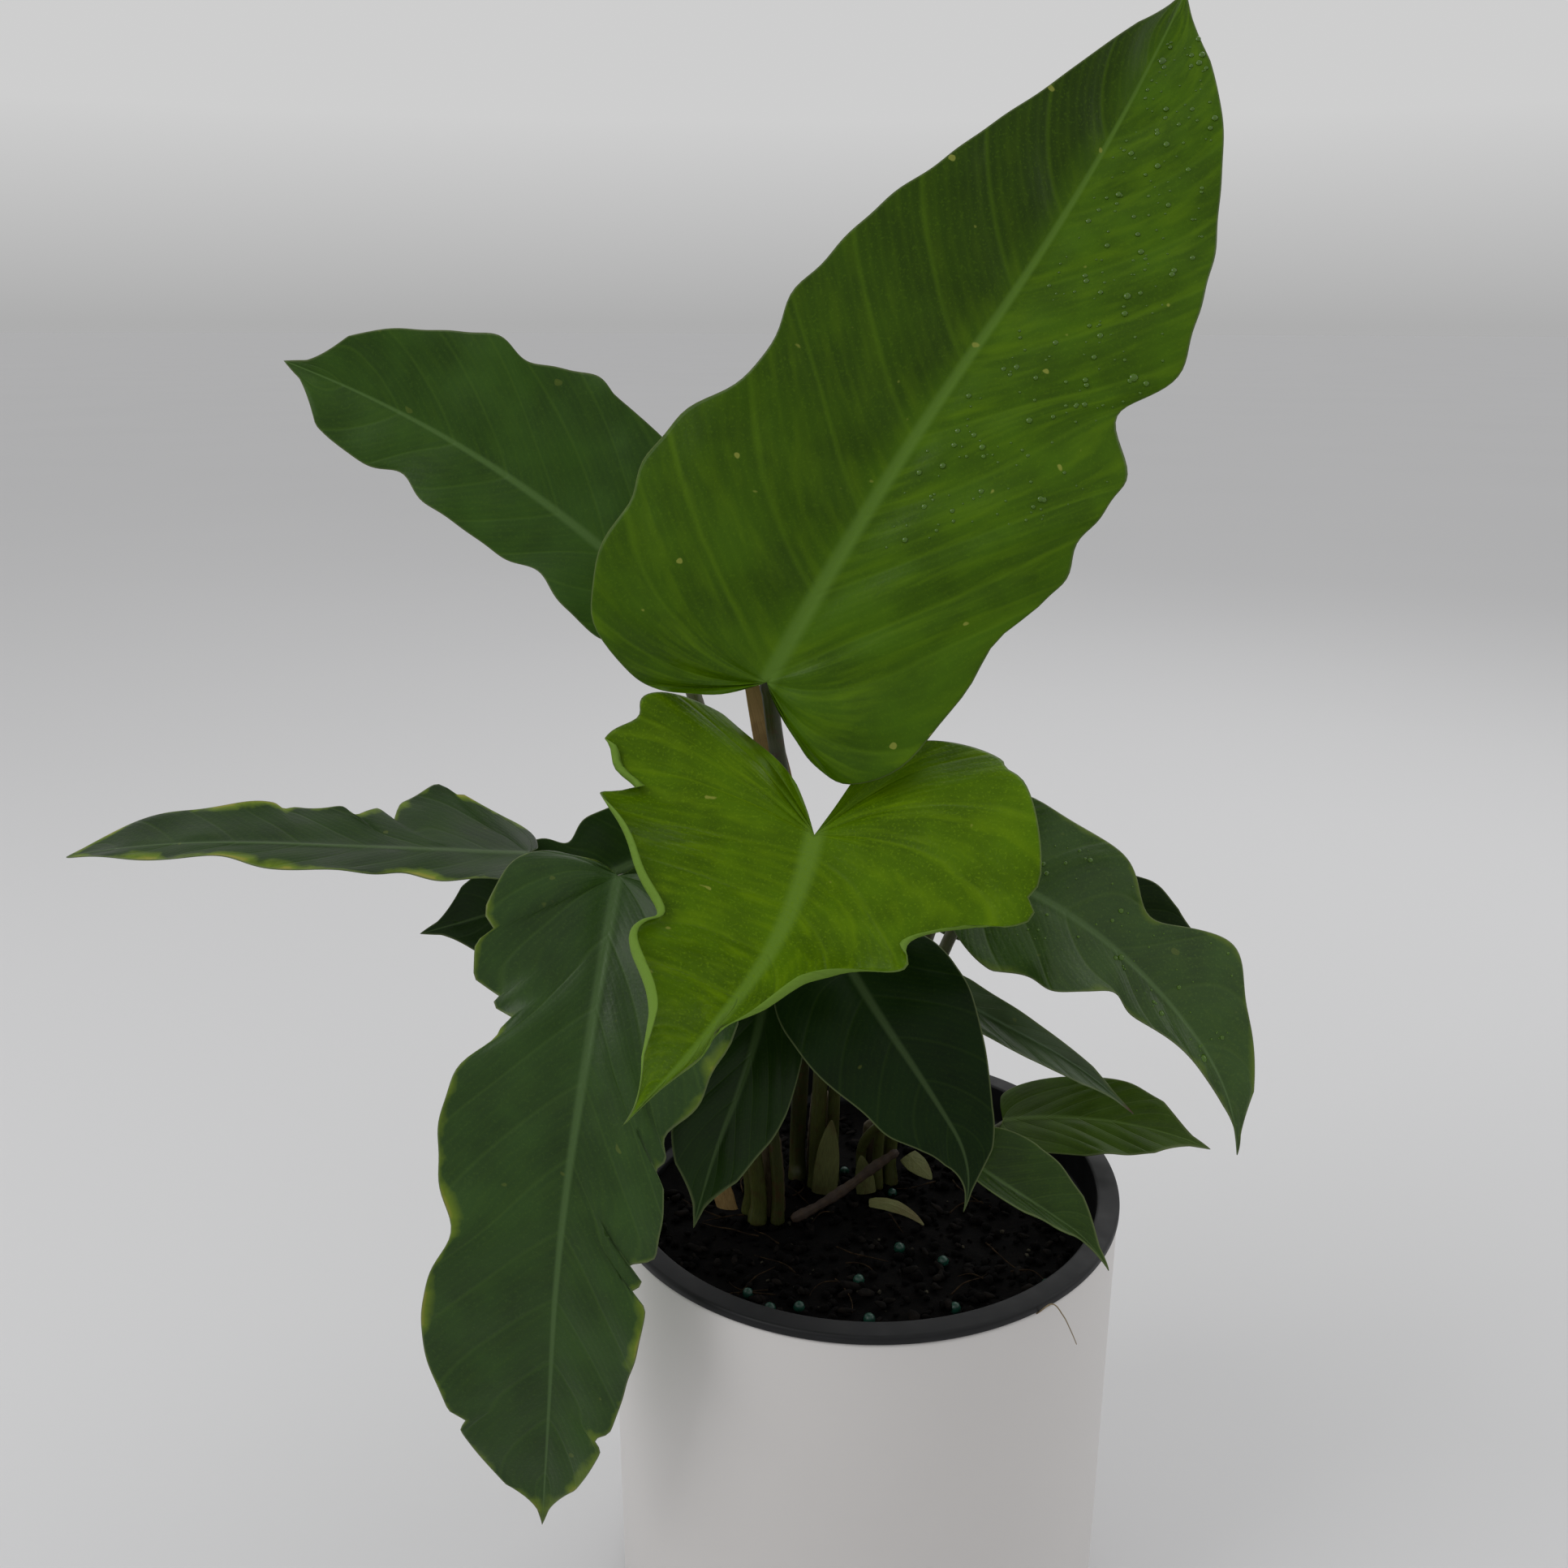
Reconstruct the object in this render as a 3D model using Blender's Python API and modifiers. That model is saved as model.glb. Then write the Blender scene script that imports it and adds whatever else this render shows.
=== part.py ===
"""Potted philodendron, built with Blender.

A black grower pot hangs by its lip in a plain white cover pot. It holds potting mix and three
short crowns, and thirteen leaves rise from them, each a thin blade on its own stalk (petiole).
Dry sheaths and an old stem lie about the crowns.

Metres, +Z up. The origin is the centre of the cover pot's underside. The plant is given in
millimetres from the middle of the mix's surface, and it moves with that surface.
"""
import math

import bmesh
import bpy
import numpy as np

MM = 0.001
GAP = 0.3 * MM                    # air kept between two pieces that touch or rest

# cover pot
COVER_RADIUS = 74.5 * MM
COVER_HEIGHT = 140.2 * MM
COVER_WALL = 3.0 * MM
COVER_FLOOR = 4.0 * MM
COVER_ROUND = 1.2 * MM            # rounding of the rim and of the foot

# grower pot, hung by its lip on the cover pot's rim
LIP_OVERHANG = 0.5 * MM           # how far the lip stands out past the cover pot
LIP_THICKNESS = 2.5 * MM
LIP_WIDTH = 6.5 * MM
GROWER_WALL = 1.2 * MM
GROWER_FLOOR = 1.6 * MM
GROWER_DEPTH = 124.0 * MM         # from the top of the lip to the underside
GROWER_TAPER = 11.0 * MM          # how much narrower the underside is than the collar
COLLAR_DEPTH = 12.0 * MM          # straight collar under the lip
COLLAR_STEP = 1.8 * MM            # step in from the collar to the body
DRAIN_HOLES = 6
DRAIN_RADIUS = 4.0 * MM
DRAIN_CIRCLE = 38.0 * MM

# potting mix
MIX_BELOW_LIP = 15.0 * MM
MIX_BEVEL = 1.5 * MM

# plant
BLADE_THICKNESS = 0.7 * MM
SHEATH_THICKNESS = 0.6 * MM
STALK_SCALE = 1.0                 # fattens or thins every petiole
CROWN_CLEARANCE = 0.6 * MM        # air between a crown and the petioles round it
DESIGN_RIM = 75.0 * MM            # rim radius that the leaves over the rim were placed for
FOOT_SWELL = 1.12                 # a petiole's radius at its foot, and then at its blade, as a
HEAD_TAPER = 0.88                 # share of its own
STRAIGHT_RISE = 14.0              # mm that a petiole climbs before it leans out
FOOT_GAP = 0.5                    # mm between a petiole's foot and the mix
BACK_SHARE = 0.52                 # how far out a lobe reaches furthest back, as a share of its width
DRIP = 2.0                        # mm that the drip tip adds to either half of a leaf

TURN_STEPS = 48
BLADE_ROWS = 20
BLADE_COLUMNS = 3                 # on each side of the midrib
SHEATH_ROWS = 7
SHEATH_COLUMNS = 2
STALK_POINTS = 10
MIDRIB_STEPS = 200

LIP_TOP = COVER_HEIGHT + GAP + LIP_THICKNESS
MIX_TOP = LIP_TOP - MIX_BELOW_LIP
RIM_RADIUS = COVER_RADIUS + LIP_OVERHANG
COLLAR_RADIUS = RIM_RADIUS - LIP_WIDTH + GROWER_WALL

# crowns: foot (x, y) on the mix, height and foot radius, in mm
CROWNS = {
    "left": {"foot": (-27, 2), "height": 26, "radius": 4.2},
    "centre": {"foot": (-12, 22), "height": 30, "radius": 4.4},
    "right": {"foot": (4, 20), "height": 20, "radius": 4.0},
}

# Leaves. joint: where the blade meets its stalk. length: of the midrib. heading: the way the midrib
# runs, and face: the way the upper side looks, both from base to tip. fold and curl: degrees that
# each half rises from the midrib and bends on at full width, base and tip. lobe: how far the basal
# lobes lift. ruffle: height, waves, phase of either side. fan: the share of the outline that the
# lobe takes, and first: where on it the blade starts. left and right: the margins, as margin()
# reads them. stalk: its crown, its bearing round the crown, its radius and the points it passes.
LEAF = {"foot": 0, "first": 0.02, "over_rim": False}
LEAVES = {
    "tall_leaf": {
        "joint": (-28, -19, 169), "length": 207,
        "heading": [(0.48, 0.08, 0.87), (0.57, 0.3, 0.76), (0.42, 0.37, 0.83)],
        "face": [(-0.05, -1, 0.25), (0, -1, 0.3), (0.1, -1, 0.28)],
        "fold": (14, 22), "curl": ((-22, -10), (-26, -8)), "lobe": -6, "ruffle": (3.0, 4.5, 0.6, 2.2),
        "width": 52, "fan": 0.3,
        "left": (16, 54, 20, 1.8, 1, [(66, 8, 14)]),
        "right": (13, 50, 54, 2.8, 1, [(38, 5, 12), (103, 8, 8)]),
        "colour": (0.13, 0.26, 0.03),
        "stalk": ("centre", 200, 2.3, [(-18, 8, 70), (-22, 0, 122), (-26, -10, 152)]),
    },
    "new_leaf": {
        "joint": (-16, -35, 133), "length": 104,
        "heading": [(-0.2, -0.76, -0.62), (-0.43, -0.88, -0.2), (-0.45, -0.89, -0.08)],
        "face": [(-0.02, -0.62, 0.78), (0, -0.72, 0.7), (0, -0.8, 0.6)],
        "fold": (8, 8), "curl": ((-10, -10), (4, 6)), "lobe": 5, "ruffle": (5.5, 3.5, 0.0, 1.2),
        "width": 60, "fan": 0.42,
        "left": (35, 57, 12, 1, 3, [(22, 6, 5)]),
        "right": (30, 59, -11, 1.5, 1.3, [(44, 5, 6), (60, -5, 9)]),
        "colour": (0.3, 0.42, 0.04),
        "stalk": ("centre", 260, 2.2, [(-12, 6, 60), (-12, -8, 100), (-14, -22, 120)]),
    },
    "back_left_leaf": {
        "joint": (-60, 26, 183), "length": 124,
        "heading": [(-0.72, 0.18, 0.66), (-0.84, 0.19, 0.5), (-0.94, 0.08, 0.34)],
        "face": [(-0.1, -1, 0.35), (-0.1, -1, 0.25), (-0.1, -1, 0.15)],
        "fold": (12, 18), "curl": ((-12, -8), (-14, -8)), "lobe": -5, "ruffle": (2.2, 3.5, 0.3, 2.0),
        "width": 40, "fan": 0.3,
        "left": (6, 20, 12, 8, 1, [(30, 3, 8), (79, 4, 7)]),
        "right": (10, 36, 40, 2.2, 1, [(62, 3, 6)]),
        "colour": (0.06, 0.15, 0.03),
        "stalk": ("left", 96, 2.2, [(-31, 12, 70), (-41, 16, 126), (-52, 23, 164)]),
    },
    "side_left_leaf": {
        "joint": (-97, 14, 110), "length": 132,
        "heading": [(-0.82, -0.5, 0.22), (-0.98, -0.1, 0.08), (-0.93, 0.3, -0.27)],
        "face": [(0, -0.14, 1), (0, -0.1, 1), (-0.1, -0.2, 1)],
        "fold": (3, 6), "curl": ((-14, -10), (8, 0)), "lobe": 0, "ruffle": (1.6, 4.5, 0.5, 2.0),
        "width": 32, "fan": 0.24,
        "left": (4, 19, 14, 1.8, 1, [(36, 5, 6), (80, 3, 8)]),
        "right": (7, 22, 22, 6, 1, [(22, -14, 14), (46, 3, 4)]),
        "colour": (0.07, 0.16, 0.03),
        "stalk": ("left", 190, 1.9, [(-42, 6, 52), (-64, 11, 90), (-84, 13, 104)]),
    },
    "drooping_leaf": {
        "joint": (-67, -22, 117), "length": 186,
        "heading": [(-0.1, -0.76, -0.64), (-0.15, -0.36, -0.92), (-0.09, 0.03, -1), (-0.11, 0.1, -1)],
        "face": [(-0.05, -0.75, 0.68), (-0.05, -0.95, 0.35), (-0.03, -1, 0.05), (-0.03, -1, -0.05)],
        "fold": (12, 16), "curl": ((-10, -4), (-10, -6)), "lobe": -4, "ruffle": (2.6, 5, 0.2, 1.4),
        "width": 40, "fan": 0.24, "over_rim": True,
        "left": (3, 26, 42, 3.5, 1, [(34, -12, 20), (64, 4, 5)]),
        "right": (6, 33, 24, 6, 1.5, [(44, 10, 8), (94, 5, 8), (122, -3, 12)]),
        "colour": (0.05, 0.12, 0.03),
        "stalk": ("left", 235, 2.3, [(-38, -6, 60), (-52, -12, 98), (-63, -17, 112)]),
    },
    "behind_left_leaf": {
        "joint": (-68, 38, 99), "length": 69,
        "heading": [(-0.9, -0.28, -0.34), (-0.95, -0.2, -0.24), (-0.96, -0.08, -0.25)],
        "face": [(-0.15, -0.85, 0.55), (-0.1, -1, 0.4), (-0.1, -1, 0.3)],
        "fold": (12, 14), "curl": ((-8, -6), (-8, -6)), "lobe": -3, "ruffle": (1.4, 3, 0.2, 1.4),
        "width": 30, "fan": 0.3,
        "left": (5, 21, 24, 1.6, 1, []),
        "right": (10, 19, 2, 3, 1, [(18, 5, 5)]),
        "colour": (0.05, 0.12, 0.03),
        "stalk": ("left", 142, 1.8, [(-37, 13, 46), (-49, 25, 76), (-60, 35, 88)]),
    },
    "small_dark_leaf": {
        "joint": (-28, -24, 87), "length": 67,
        "heading": [(-0.15, -0.66, -0.74), (-0.38, -0.42, -0.83), (-0.22, -0.1, -0.97)],
        "face": [(-0.1, -0.75, 0.6), (-0.05, -1, 0.3), (0, -1, 0.1)],
        "fold": (8, 14), "curl": ((-10, -6), (-10, -6)), "lobe": -3, "ruffle": (0.8, 3, 0.2, 1.4),
        "width": 30, "fan": 0.3,
        "left": (5, 14, 30, 1.4, 1, []),
        "right": (5, 17, 26, 2, 1.3, []),
        "colour": (0.04, 0.1, 0.03),
        "stalk": ("left", 285, 1.7, [(-27, -6, 40), (-26, -12, 66), (-27, -19, 80)]),
    },
    "centre_leaf": {
        "joint": (-6, -28, 93), "length": 73,
        "heading": [(0.48, -0.64, -0.6), (0.57, -0.4, -0.73), (0.52, -0.15, -0.85), (-0.25, -0.05, -0.97)],
        "face": [(0.1, -0.7, 0.7), (0.15, -0.95, 0.4), (0.2, -1, 0.15)],
        "fold": (10, 14), "curl": ((-12, -8), (-12, -8)), "lobe": -4, "ruffle": (0.8, 3, 0.4, 1.4),
        "width": 36, "fan": 0.3,
        "left": (6, 25, 12, 1.7, 1.4, []),
        "right": (7, 25, 7, 1.5, 1.4, [(40, -2, 6)]),
        "colour": (0.05, 0.12, 0.02),
        "stalk": ("centre", 300, 1.8, [(-8, 10, 44), (-7, -6, 74), (-7, -20, 88)]),
    },
    "right_leaf": {
        "joint": (36, 4, 107), "length": 107,
        "heading": [(0.82, -0.55, -0.15), (0.76, -0.35, -0.55), (0.58, -0.23, -0.78), (0.1, -0.05, -1)],
        "face": [(0.15, -0.75, 0.65), (0.25, -0.9, 0.45), (0.4, -0.9, 0.25)],
        "fold": (10, 20), "curl": ((-16, -10), (-18, -14)), "lobe": -6, "ruffle": (2.6, 4, 0.9, 2.6),
        "width": 40, "fan": 0.3,
        "left": (10, 26, 0, 2.2, 1, [(39, 10, 9), (60, -6, 8)]),
        "right": (7, 26, 14, 1, 1.6, [(32, -4, 6), (46, 4, 5)]),
        "colour": (0.06, 0.14, 0.03),
        "stalk": ("right", 330, 1.9, [(14, 13, 50), (24, 11, 84), (32, 8, 101)]),
    },
    "behind_right_leaf": {
        "joint": (32, 34, 96), "length": 78,
        "heading": [(0.97, -0.24, -0.08), (0.96, -0.22, -0.17), (0.84, -0.06, -0.54)],
        "face": [(0.1, -0.7, 0.7), (0.2, -0.8, 0.6), (0.3, -0.9, 0.4)],
        "fold": (10, 14), "curl": ((-12, -8), (-12, -8)), "lobe": -4, "ruffle": (1.0, 3, 0.4, 1.4),
        "width": 30, "fan": 0.3,
        "left": (7, 16, 16, 1.5, 1, [(54, -2, 6)]),
        "right": (11, 23, 8, 2, 1, []),
        "colour": (0.06, 0.14, 0.03),
        "stalk": ("right", 62, 1.8, [(14, 24, 46), (20, 30, 76), (27, 33, 90)]),
    },
    "narrow_leaf": {
        "joint": (21, 2, 74), "length": 64,
        "heading": [(0.76, -0.6, -0.25), (0.88, -0.38, -0.34), (0.7, -0.36, -0.62)],
        "face": [(0.15, -0.8, 0.6), (0.15, -0.8, 0.6), (0.3, -0.8, 0.6)],
        "fold": (30, 34), "curl": ((0, 0), (0, 0)), "lobe": -2, "ruffle": (0.8, 2.5, 0.4, 1.4),
        "width": 26, "fan": 0.25,
        "left": (3, 7, 8, 1.2, 1, []),
        "right": (3, 8, 12, 3.5, 1, []),
        "colour": (0.05, 0.1, 0.04),
        "stalk": ("right", 285, 1.5, [(8, 10, 36), (13, 6, 60), (18, 4, 71)]),
    },
    "low_right_leaf": {
        "joint": (45, 22, 19), "length": 64,
        "heading": [(0.8, -0.44, 0.4), (0.93, -0.33, 0.06), (0.92, -0.15, -0.36)],
        "face": [(0.1, -0.55, 0.8), (0.15, -0.6, 0.8), (0.3, -0.7, 0.6)],
        "fold": (8, 14), "curl": ((-8, -6), (-10, -6)), "lobe": -2, "ruffle": (0.6, 3, 0.4, 1.4),
        "width": 28, "fan": 0.2, "over_rim": True,
        "left": (1, 14, 28, 1.8, 1, []),
        "right": (1, 13, 28, 1.5, 1, []),
        "colour": (0.12, 0.22, 0.03),
        "stalk": ("right", 16, 1.5, [(18, 23, 21), (29, 24, 19), (40, 24, 14)]),
    },
    "rim_leaf": {
        "joint": (27, -39, 42), "length": 47,
        "heading": [(0.82, -0.5, -0.35), (0.81, 0, -0.58), (0.8, -0.02, -0.58), (0.4, -0.8, -0.5)],
        "face": [(0.1, -0.6, 0.8), (0.2, -0.55, 0.8), (0.3, -0.5, 0.8)],
        "fold": (28, 34), "curl": ((-10, -6), (0, -6)), "lobe": 0, "ruffle": (0.5, 3, 0.4, 1.4),
        "width": 24, "fan": 0.2, "over_rim": True,
        "left": (3, 14, 12, 1.6, 1, []),
        "right": (1, 6, 16, 1.2, 1, []),
        "colour": (0.12, 0.2, 0.05),
        "stalk": ("right", 240, 1.5, [(6, 2, 30), (12, -16, 44), (21, -33, 45)]),
    },
}

# Dry sheaths, given as blades with a broad foot, no fold and no ruffle
PLAIN = {
    "fold": (0, 0), "lobe": 0, "ruffle": (0, 1, 0, 0), "width": 6, "fan": 0.1, "first": 0, "over_rim": False
}
SHEATHS = {
    "tall_sheath": {
        "joint": (-18.5, 21, 40), "length": 137, "foot": 4,
        "heading": [(-0.01, -0.17, 0.98), (-0.06, -0.2, 0.98), (-0.13, -0.25, 0.96), (-0.3, -0.23, 0.9)],
        "face": [(0, -1, 0), (0, -1, 0)], "curl": ((70, 40), (70, 40)),
        "left": (0, 5.5, 60, 4, 1, []), "right": (0, 5.5, 60, 4, 1, []), "colour": (0.32, 0.17, 0.07),
    },
    "left_sheath": {
        "joint": (-40.5, 1, 1), "length": 19, "foot": 3.5,
        "heading": [(-0.12, -0.12, 1), (-0.3, -0.1, 0.95)],
        "face": [(-0.3, -1, 0), (-0.3, -1, 0)], "curl": ((-40, -20), (-40, -20)),
        "left": (0, 4, 6, 1.6, 1, []), "right": (0, 3, 6, 1.6, 1, []), "colour": (0.28, 0.11, 0.07),
    },
    "centre_sheath": {
        "joint": (-11, 9, 1), "length": 27, "foot": 4,
        "heading": [(0.07, -0.07, 1), (0.07, -0.07, 1)],
        "face": [(0, -1, 0.1), (0, -1, 0.1)], "curl": ((-50, -20), (-50, -20)),
        "left": (0, 4, 8, 2.2, 1, []), "right": (0, 4, 8, 2.2, 1, []), "colour": (0.5, 0.38, 0.25),
    },
    "right_sheath": {
        "joint": (2, 9.5, 1), "length": 14, "foot": 3,
        "heading": [(-0.14, -0.07, 1), (-0.14, -0.07, 1)],
        "face": [(0, -1, 0.1), (0, -1, 0.1)], "curl": ((-40, -20), (-40, -20)),
        "left": (0, 3, 5, 2, 1, []), "right": (0, 3, 5, 2, 1, []), "colour": (0.5, 0.45, 0.22),
    },
    "curled_sheath": {
        "joint": (2, -3, 6), "length": 18, "foot": 1,
        "heading": [(0.98, -0.16, 0.2), (0.9, -0.2, -0.3), (0.7, -0.35, -0.65)],
        "face": [(0, -0.6, 1), (0.4, -0.6, 0.8), (1, -0.5, 0.3)], "curl": ((-30, -30), (-30, -30)),
        "left": (0, 2, 8, 2, 1, []), "right": (0, 2, 8, 2, 1, []), "colour": (0.5, 0.48, 0.25),
    },
    "pointed_sheath": {
        "joint": (15, 17, 10), "length": 11, "foot": 3,
        "heading": [(0.6, -0.75, -0.25), (0.65, -0.65, -0.45)],
        "face": [(0.2, -0.6, 0.8), (0.2, -0.6, 0.8)], "curl": ((-30, -20), (-30, -20)),
        "left": (0, 3.5, 4, 1.6, 1, []), "right": (0, 3.5, 4, 1.6, 1, []), "colour": (0.55, 0.5, 0.3),
    },
}

# An old stem lying across the crowns' feet: its points and radius, in mm
OLD_STEM = {"points": [(-21, -6, 2.2), (-13, -3, 5), (-4, 1, 9), (4, 4, 14), (11, 6, 18)], "radius": 1.7}


def unit(vectors):
    """Vectors scaled to length 1."""
    vectors = np.asarray(vectors, float)
    return vectors / np.linalg.norm(vectors, axis=-1, keepdims=True)


def through(points, share):
    """The Catmull-Rom curve through the points, read at shares 0 to 1 of the way along."""
    points = np.asarray(points, float)
    spans = len(points) - 1
    place = np.clip(np.asarray(share, float), 0, 1) * spans
    first = np.minimum(place.astype(int), spans - 1)
    u = (place - first)[..., None]
    ends = np.vstack([2 * points[0] - points[1], points, 2 * points[-1] - points[-2]])
    a, b, c, d = ends[first], ends[first + 1], ends[first + 2], ends[first + 3]
    bend = 2 * a - 5 * b + 4 * c - d
    twist = 3 * b - a - 3 * c + d
    return 0.5 * (2 * b + (c - a) * u + bend * u**2 + twist * u**3)


class Blade:
    """A leaf's surface: a curved midrib with two halves that fold up from it and bend on outwards."""

    def __init__(self, shape):
        self.shape = shape
        self.length = shape["length"]
        self.run = np.linspace(0, self.length, MIDRIB_STEPS + 1)
        self.along = unit(self.spread(shape["heading"]))
        steps = (self.along[1:] + self.along[:-1]) / 2 * self.run[1]
        self.points = np.vstack([np.zeros(3), np.cumsum(steps, axis=0)]) + shape["joint"]
        face = self.spread(shape["face"])
        face = face - (face * self.along).sum(1, keepdims=True) * self.along
        self.up = unit(face)
        self.out = np.cross(self.along, self.up)

    def spread(self, vectors):
        """Unit vectors given evenly from base to tip, read at every step of the midrib."""
        vectors = unit(vectors)
        stations = np.linspace(0, self.length, len(vectors))
        return np.stack([np.interp(self.run, stations, vectors[:, axis]) for axis in range(3)], -1)

    def read(self, table, s):
        """One of the midrib's tables of vectors, read at distances s."""
        return np.stack([np.interp(s, self.run, table[:, axis]) for axis in range(3)], -1)

    def ramp(self, pair, s):
        """A value that goes evenly from pair[0] at the base to pair[1] at the tip."""
        return pair[0] + (pair[1] - pair[0]) * np.clip(s / self.length, 0, 1)

    def margin(self, side, share):
        """One margin as (along the midrib, out from it), for shares 0 at the notch to 1 at the tip.

        side holds: how far the lobe reaches back, the widest half, where that is, how full the
        blade stays and how its tip tapers, and dents as (place, depth, half length). The lobe is
        two quarter turns, out to its rearmost point and on to the widest one. From there the half
        narrows as wide * (1 - x ** full) ** taper, x being the share of the way to the tip.
        """
        back, wide, at, full, taper, dents = self.shape[side]
        foot, fan = self.shape["foot"], self.shape["fan"]
        rear = max(BACK_SHARE * wide, foot)
        turn = np.pi * np.clip(share / fan, 0, 1)
        inner = np.minimum(turn, np.pi / 2)
        outer = np.maximum(turn, np.pi / 2) - np.pi / 2
        x = np.clip((share - fan) / (1 - fan), 0, 1)
        s = np.where(turn < np.pi / 2, -back * np.sin(inner), at - (at + back) * np.cos(outer))
        s = np.where(x > 0, at + (self.length - at) * x, s)
        behind = foot + (rear - foot) * (np.sin(inner) + 1 - np.cos(inner)) / 2
        beside = rear + (wide - rear) * np.sin(outer)
        ahead = (wide - DRIP) * (1 - x**full) ** taper + DRIP * np.sqrt(1 - x)
        t = np.where(x > 0, ahead, np.where(turn < np.pi / 2, behind, beside))
        for place, depth, reach in dents:
            t = t - depth * np.exp(-(((s - place) / reach) ** 2)) * (turn > np.pi / 2)
        return np.stack([s, t], -1)

    def place(self, s, t, share, reach):
        """World points, in mm, for flat leaf coordinates: s along the midrib, t out from it.

        Each half leaves the midrib at the fold's angle and bends evenly on, so its section is an
        arc. Behind the joint the midrib goes straight on and lifts with the square of the
        distance. The margin ruffles as a sine that dies out at both its ends. The second result is
        the leaf's up direction, as long as it takes to move a slope 1 mm square to itself.
        """
        inside = np.clip(s, 0, self.length)
        along, up = unit(self.read(self.along, inside)), unit(self.read(self.up, inside))
        out = unit(self.read(self.out, inside))
        behind = np.minimum(s, 0)[..., None]
        centre = self.read(self.points, inside) + (s - inside)[..., None] * along
        centre = centre + self.shape["lobe"] * (behind / 50) ** 2 * up
        left, right = self.shape["curl"]
        bend = np.radians(np.where(t < 0, self.ramp(left, s), self.ramp(right, s))) / self.shape["width"]
        bend = np.where(np.abs(bend) < 1e-6, 1e-6, bend)
        fold = np.radians(self.ramp(self.shape["fold"], s))
        angle = fold + bend * np.abs(t)
        sideways = (np.sin(angle) - np.sin(fold)) / bend * np.sign(t)
        height = (np.cos(fold) - np.cos(angle)) / bend
        size, waves, phase_left, phase_right = self.shape["ruffle"]
        wave = np.sin(2 * np.pi * waves * share + np.where(t < 0, phase_left, phase_right))
        calm = np.clip(np.minimum(20 * share, 8 - 8 * share), 0, np.clip(1.15 - share, 0, 1))
        height = height + size * reach**2 * wave * calm
        return centre + sideways[..., None] * out + height[..., None] * up, up / np.cos(angle)[..., None]

    def surface(self, share, side):
        """Points and up steps for shares of the outline (0 notch, 1 tip) and -1 left to 1 right.

        A row follows a side vein: those in the fan start at the joint, the others at points spread
        evenly along the midrib.
        """
        left = self.margin("left", share) * (1, -1)
        right = self.margin("right", share)
        margin = np.where((side < 0)[..., None], left, right)
        fan = self.shape["fan"]
        root = self.length * np.clip((share - fan) / (1 - fan), 0, 1)
        reach = np.abs(side)
        s = root + (margin[..., 0] - root) * reach
        t = margin[..., 1] * reach
        return self.place(s, t, share, reach)


def clear_scene():
    """Removes every object of the open scene."""
    for thing in list(bpy.data.objects):
        bpy.data.objects.remove(thing, do_unlink=True)


def material(name, colour, roughness):
    """A Principled BSDF material."""
    made = bpy.data.materials.new(name)
    made.use_nodes = True
    shader = made.node_tree.nodes["Principled BSDF"]
    shader.inputs["Base Color"].default_value = (*colour, 1)
    shader.inputs["Roughness"].default_value = roughness
    shader.inputs["Metallic"].default_value = 0
    made.diffuse_color = (*colour, 1)
    return made


def add(name, data, paint, collection):
    """Puts mesh or curve data into the scene as a named object with its material."""
    thing = bpy.data.objects.new(name, data)
    data.materials.append(paint)
    collection.objects.link(thing)
    return thing


def turned(name, profile, paint, collection):
    """A turned piece: a profile of (radius, height) points with a Screw modifier round Z."""
    mesh = bpy.data.meshes.new(name)
    edges = [(i, i + 1) for i in range(len(profile) - 1)]
    mesh.from_pydata([(radius, 0, height) for radius, height in profile], edges, [])
    thing = add(name, mesh, paint, collection)
    screw = thing.modifiers.new("turn", "SCREW")
    screw.steps = TURN_STEPS
    screw.render_steps = TURN_STEPS
    screw.use_merge_vertices = True
    screw.merge_threshold = 0.0001
    screw.use_smooth_shade = True
    return thing


def cover_pot(collection):
    """The plain white cover pot, a straight cup with rounded rim and foot."""
    inner = COVER_RADIUS - COVER_WALL
    soft = COVER_ROUND
    profile = [
        (0, COVER_FLOOR),
        (inner, COVER_FLOOR),
        (inner, COVER_HEIGHT - soft / 2),
        (inner + soft / 2, COVER_HEIGHT),
        (COVER_RADIUS - soft, COVER_HEIGHT),
        (COVER_RADIUS, COVER_HEIGHT - soft),
        (COVER_RADIUS, soft),
        (COVER_RADIUS - soft, 0),
        (0, 0),
    ]
    turned("cover_pot", profile, material("white_ceramic", (0.72, 0.73, 0.74), 0.45), collection)


def grower_radius(height):
    """Inner radius of the grower pot's body at a height."""
    top = LIP_TOP - LIP_THICKNESS - COLLAR_DEPTH
    bottom = LIP_TOP - GROWER_DEPTH
    share = (top - height) / (top - bottom)
    return COLLAR_RADIUS - COLLAR_STEP - GROWER_WALL - GROWER_TAPER * share


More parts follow.
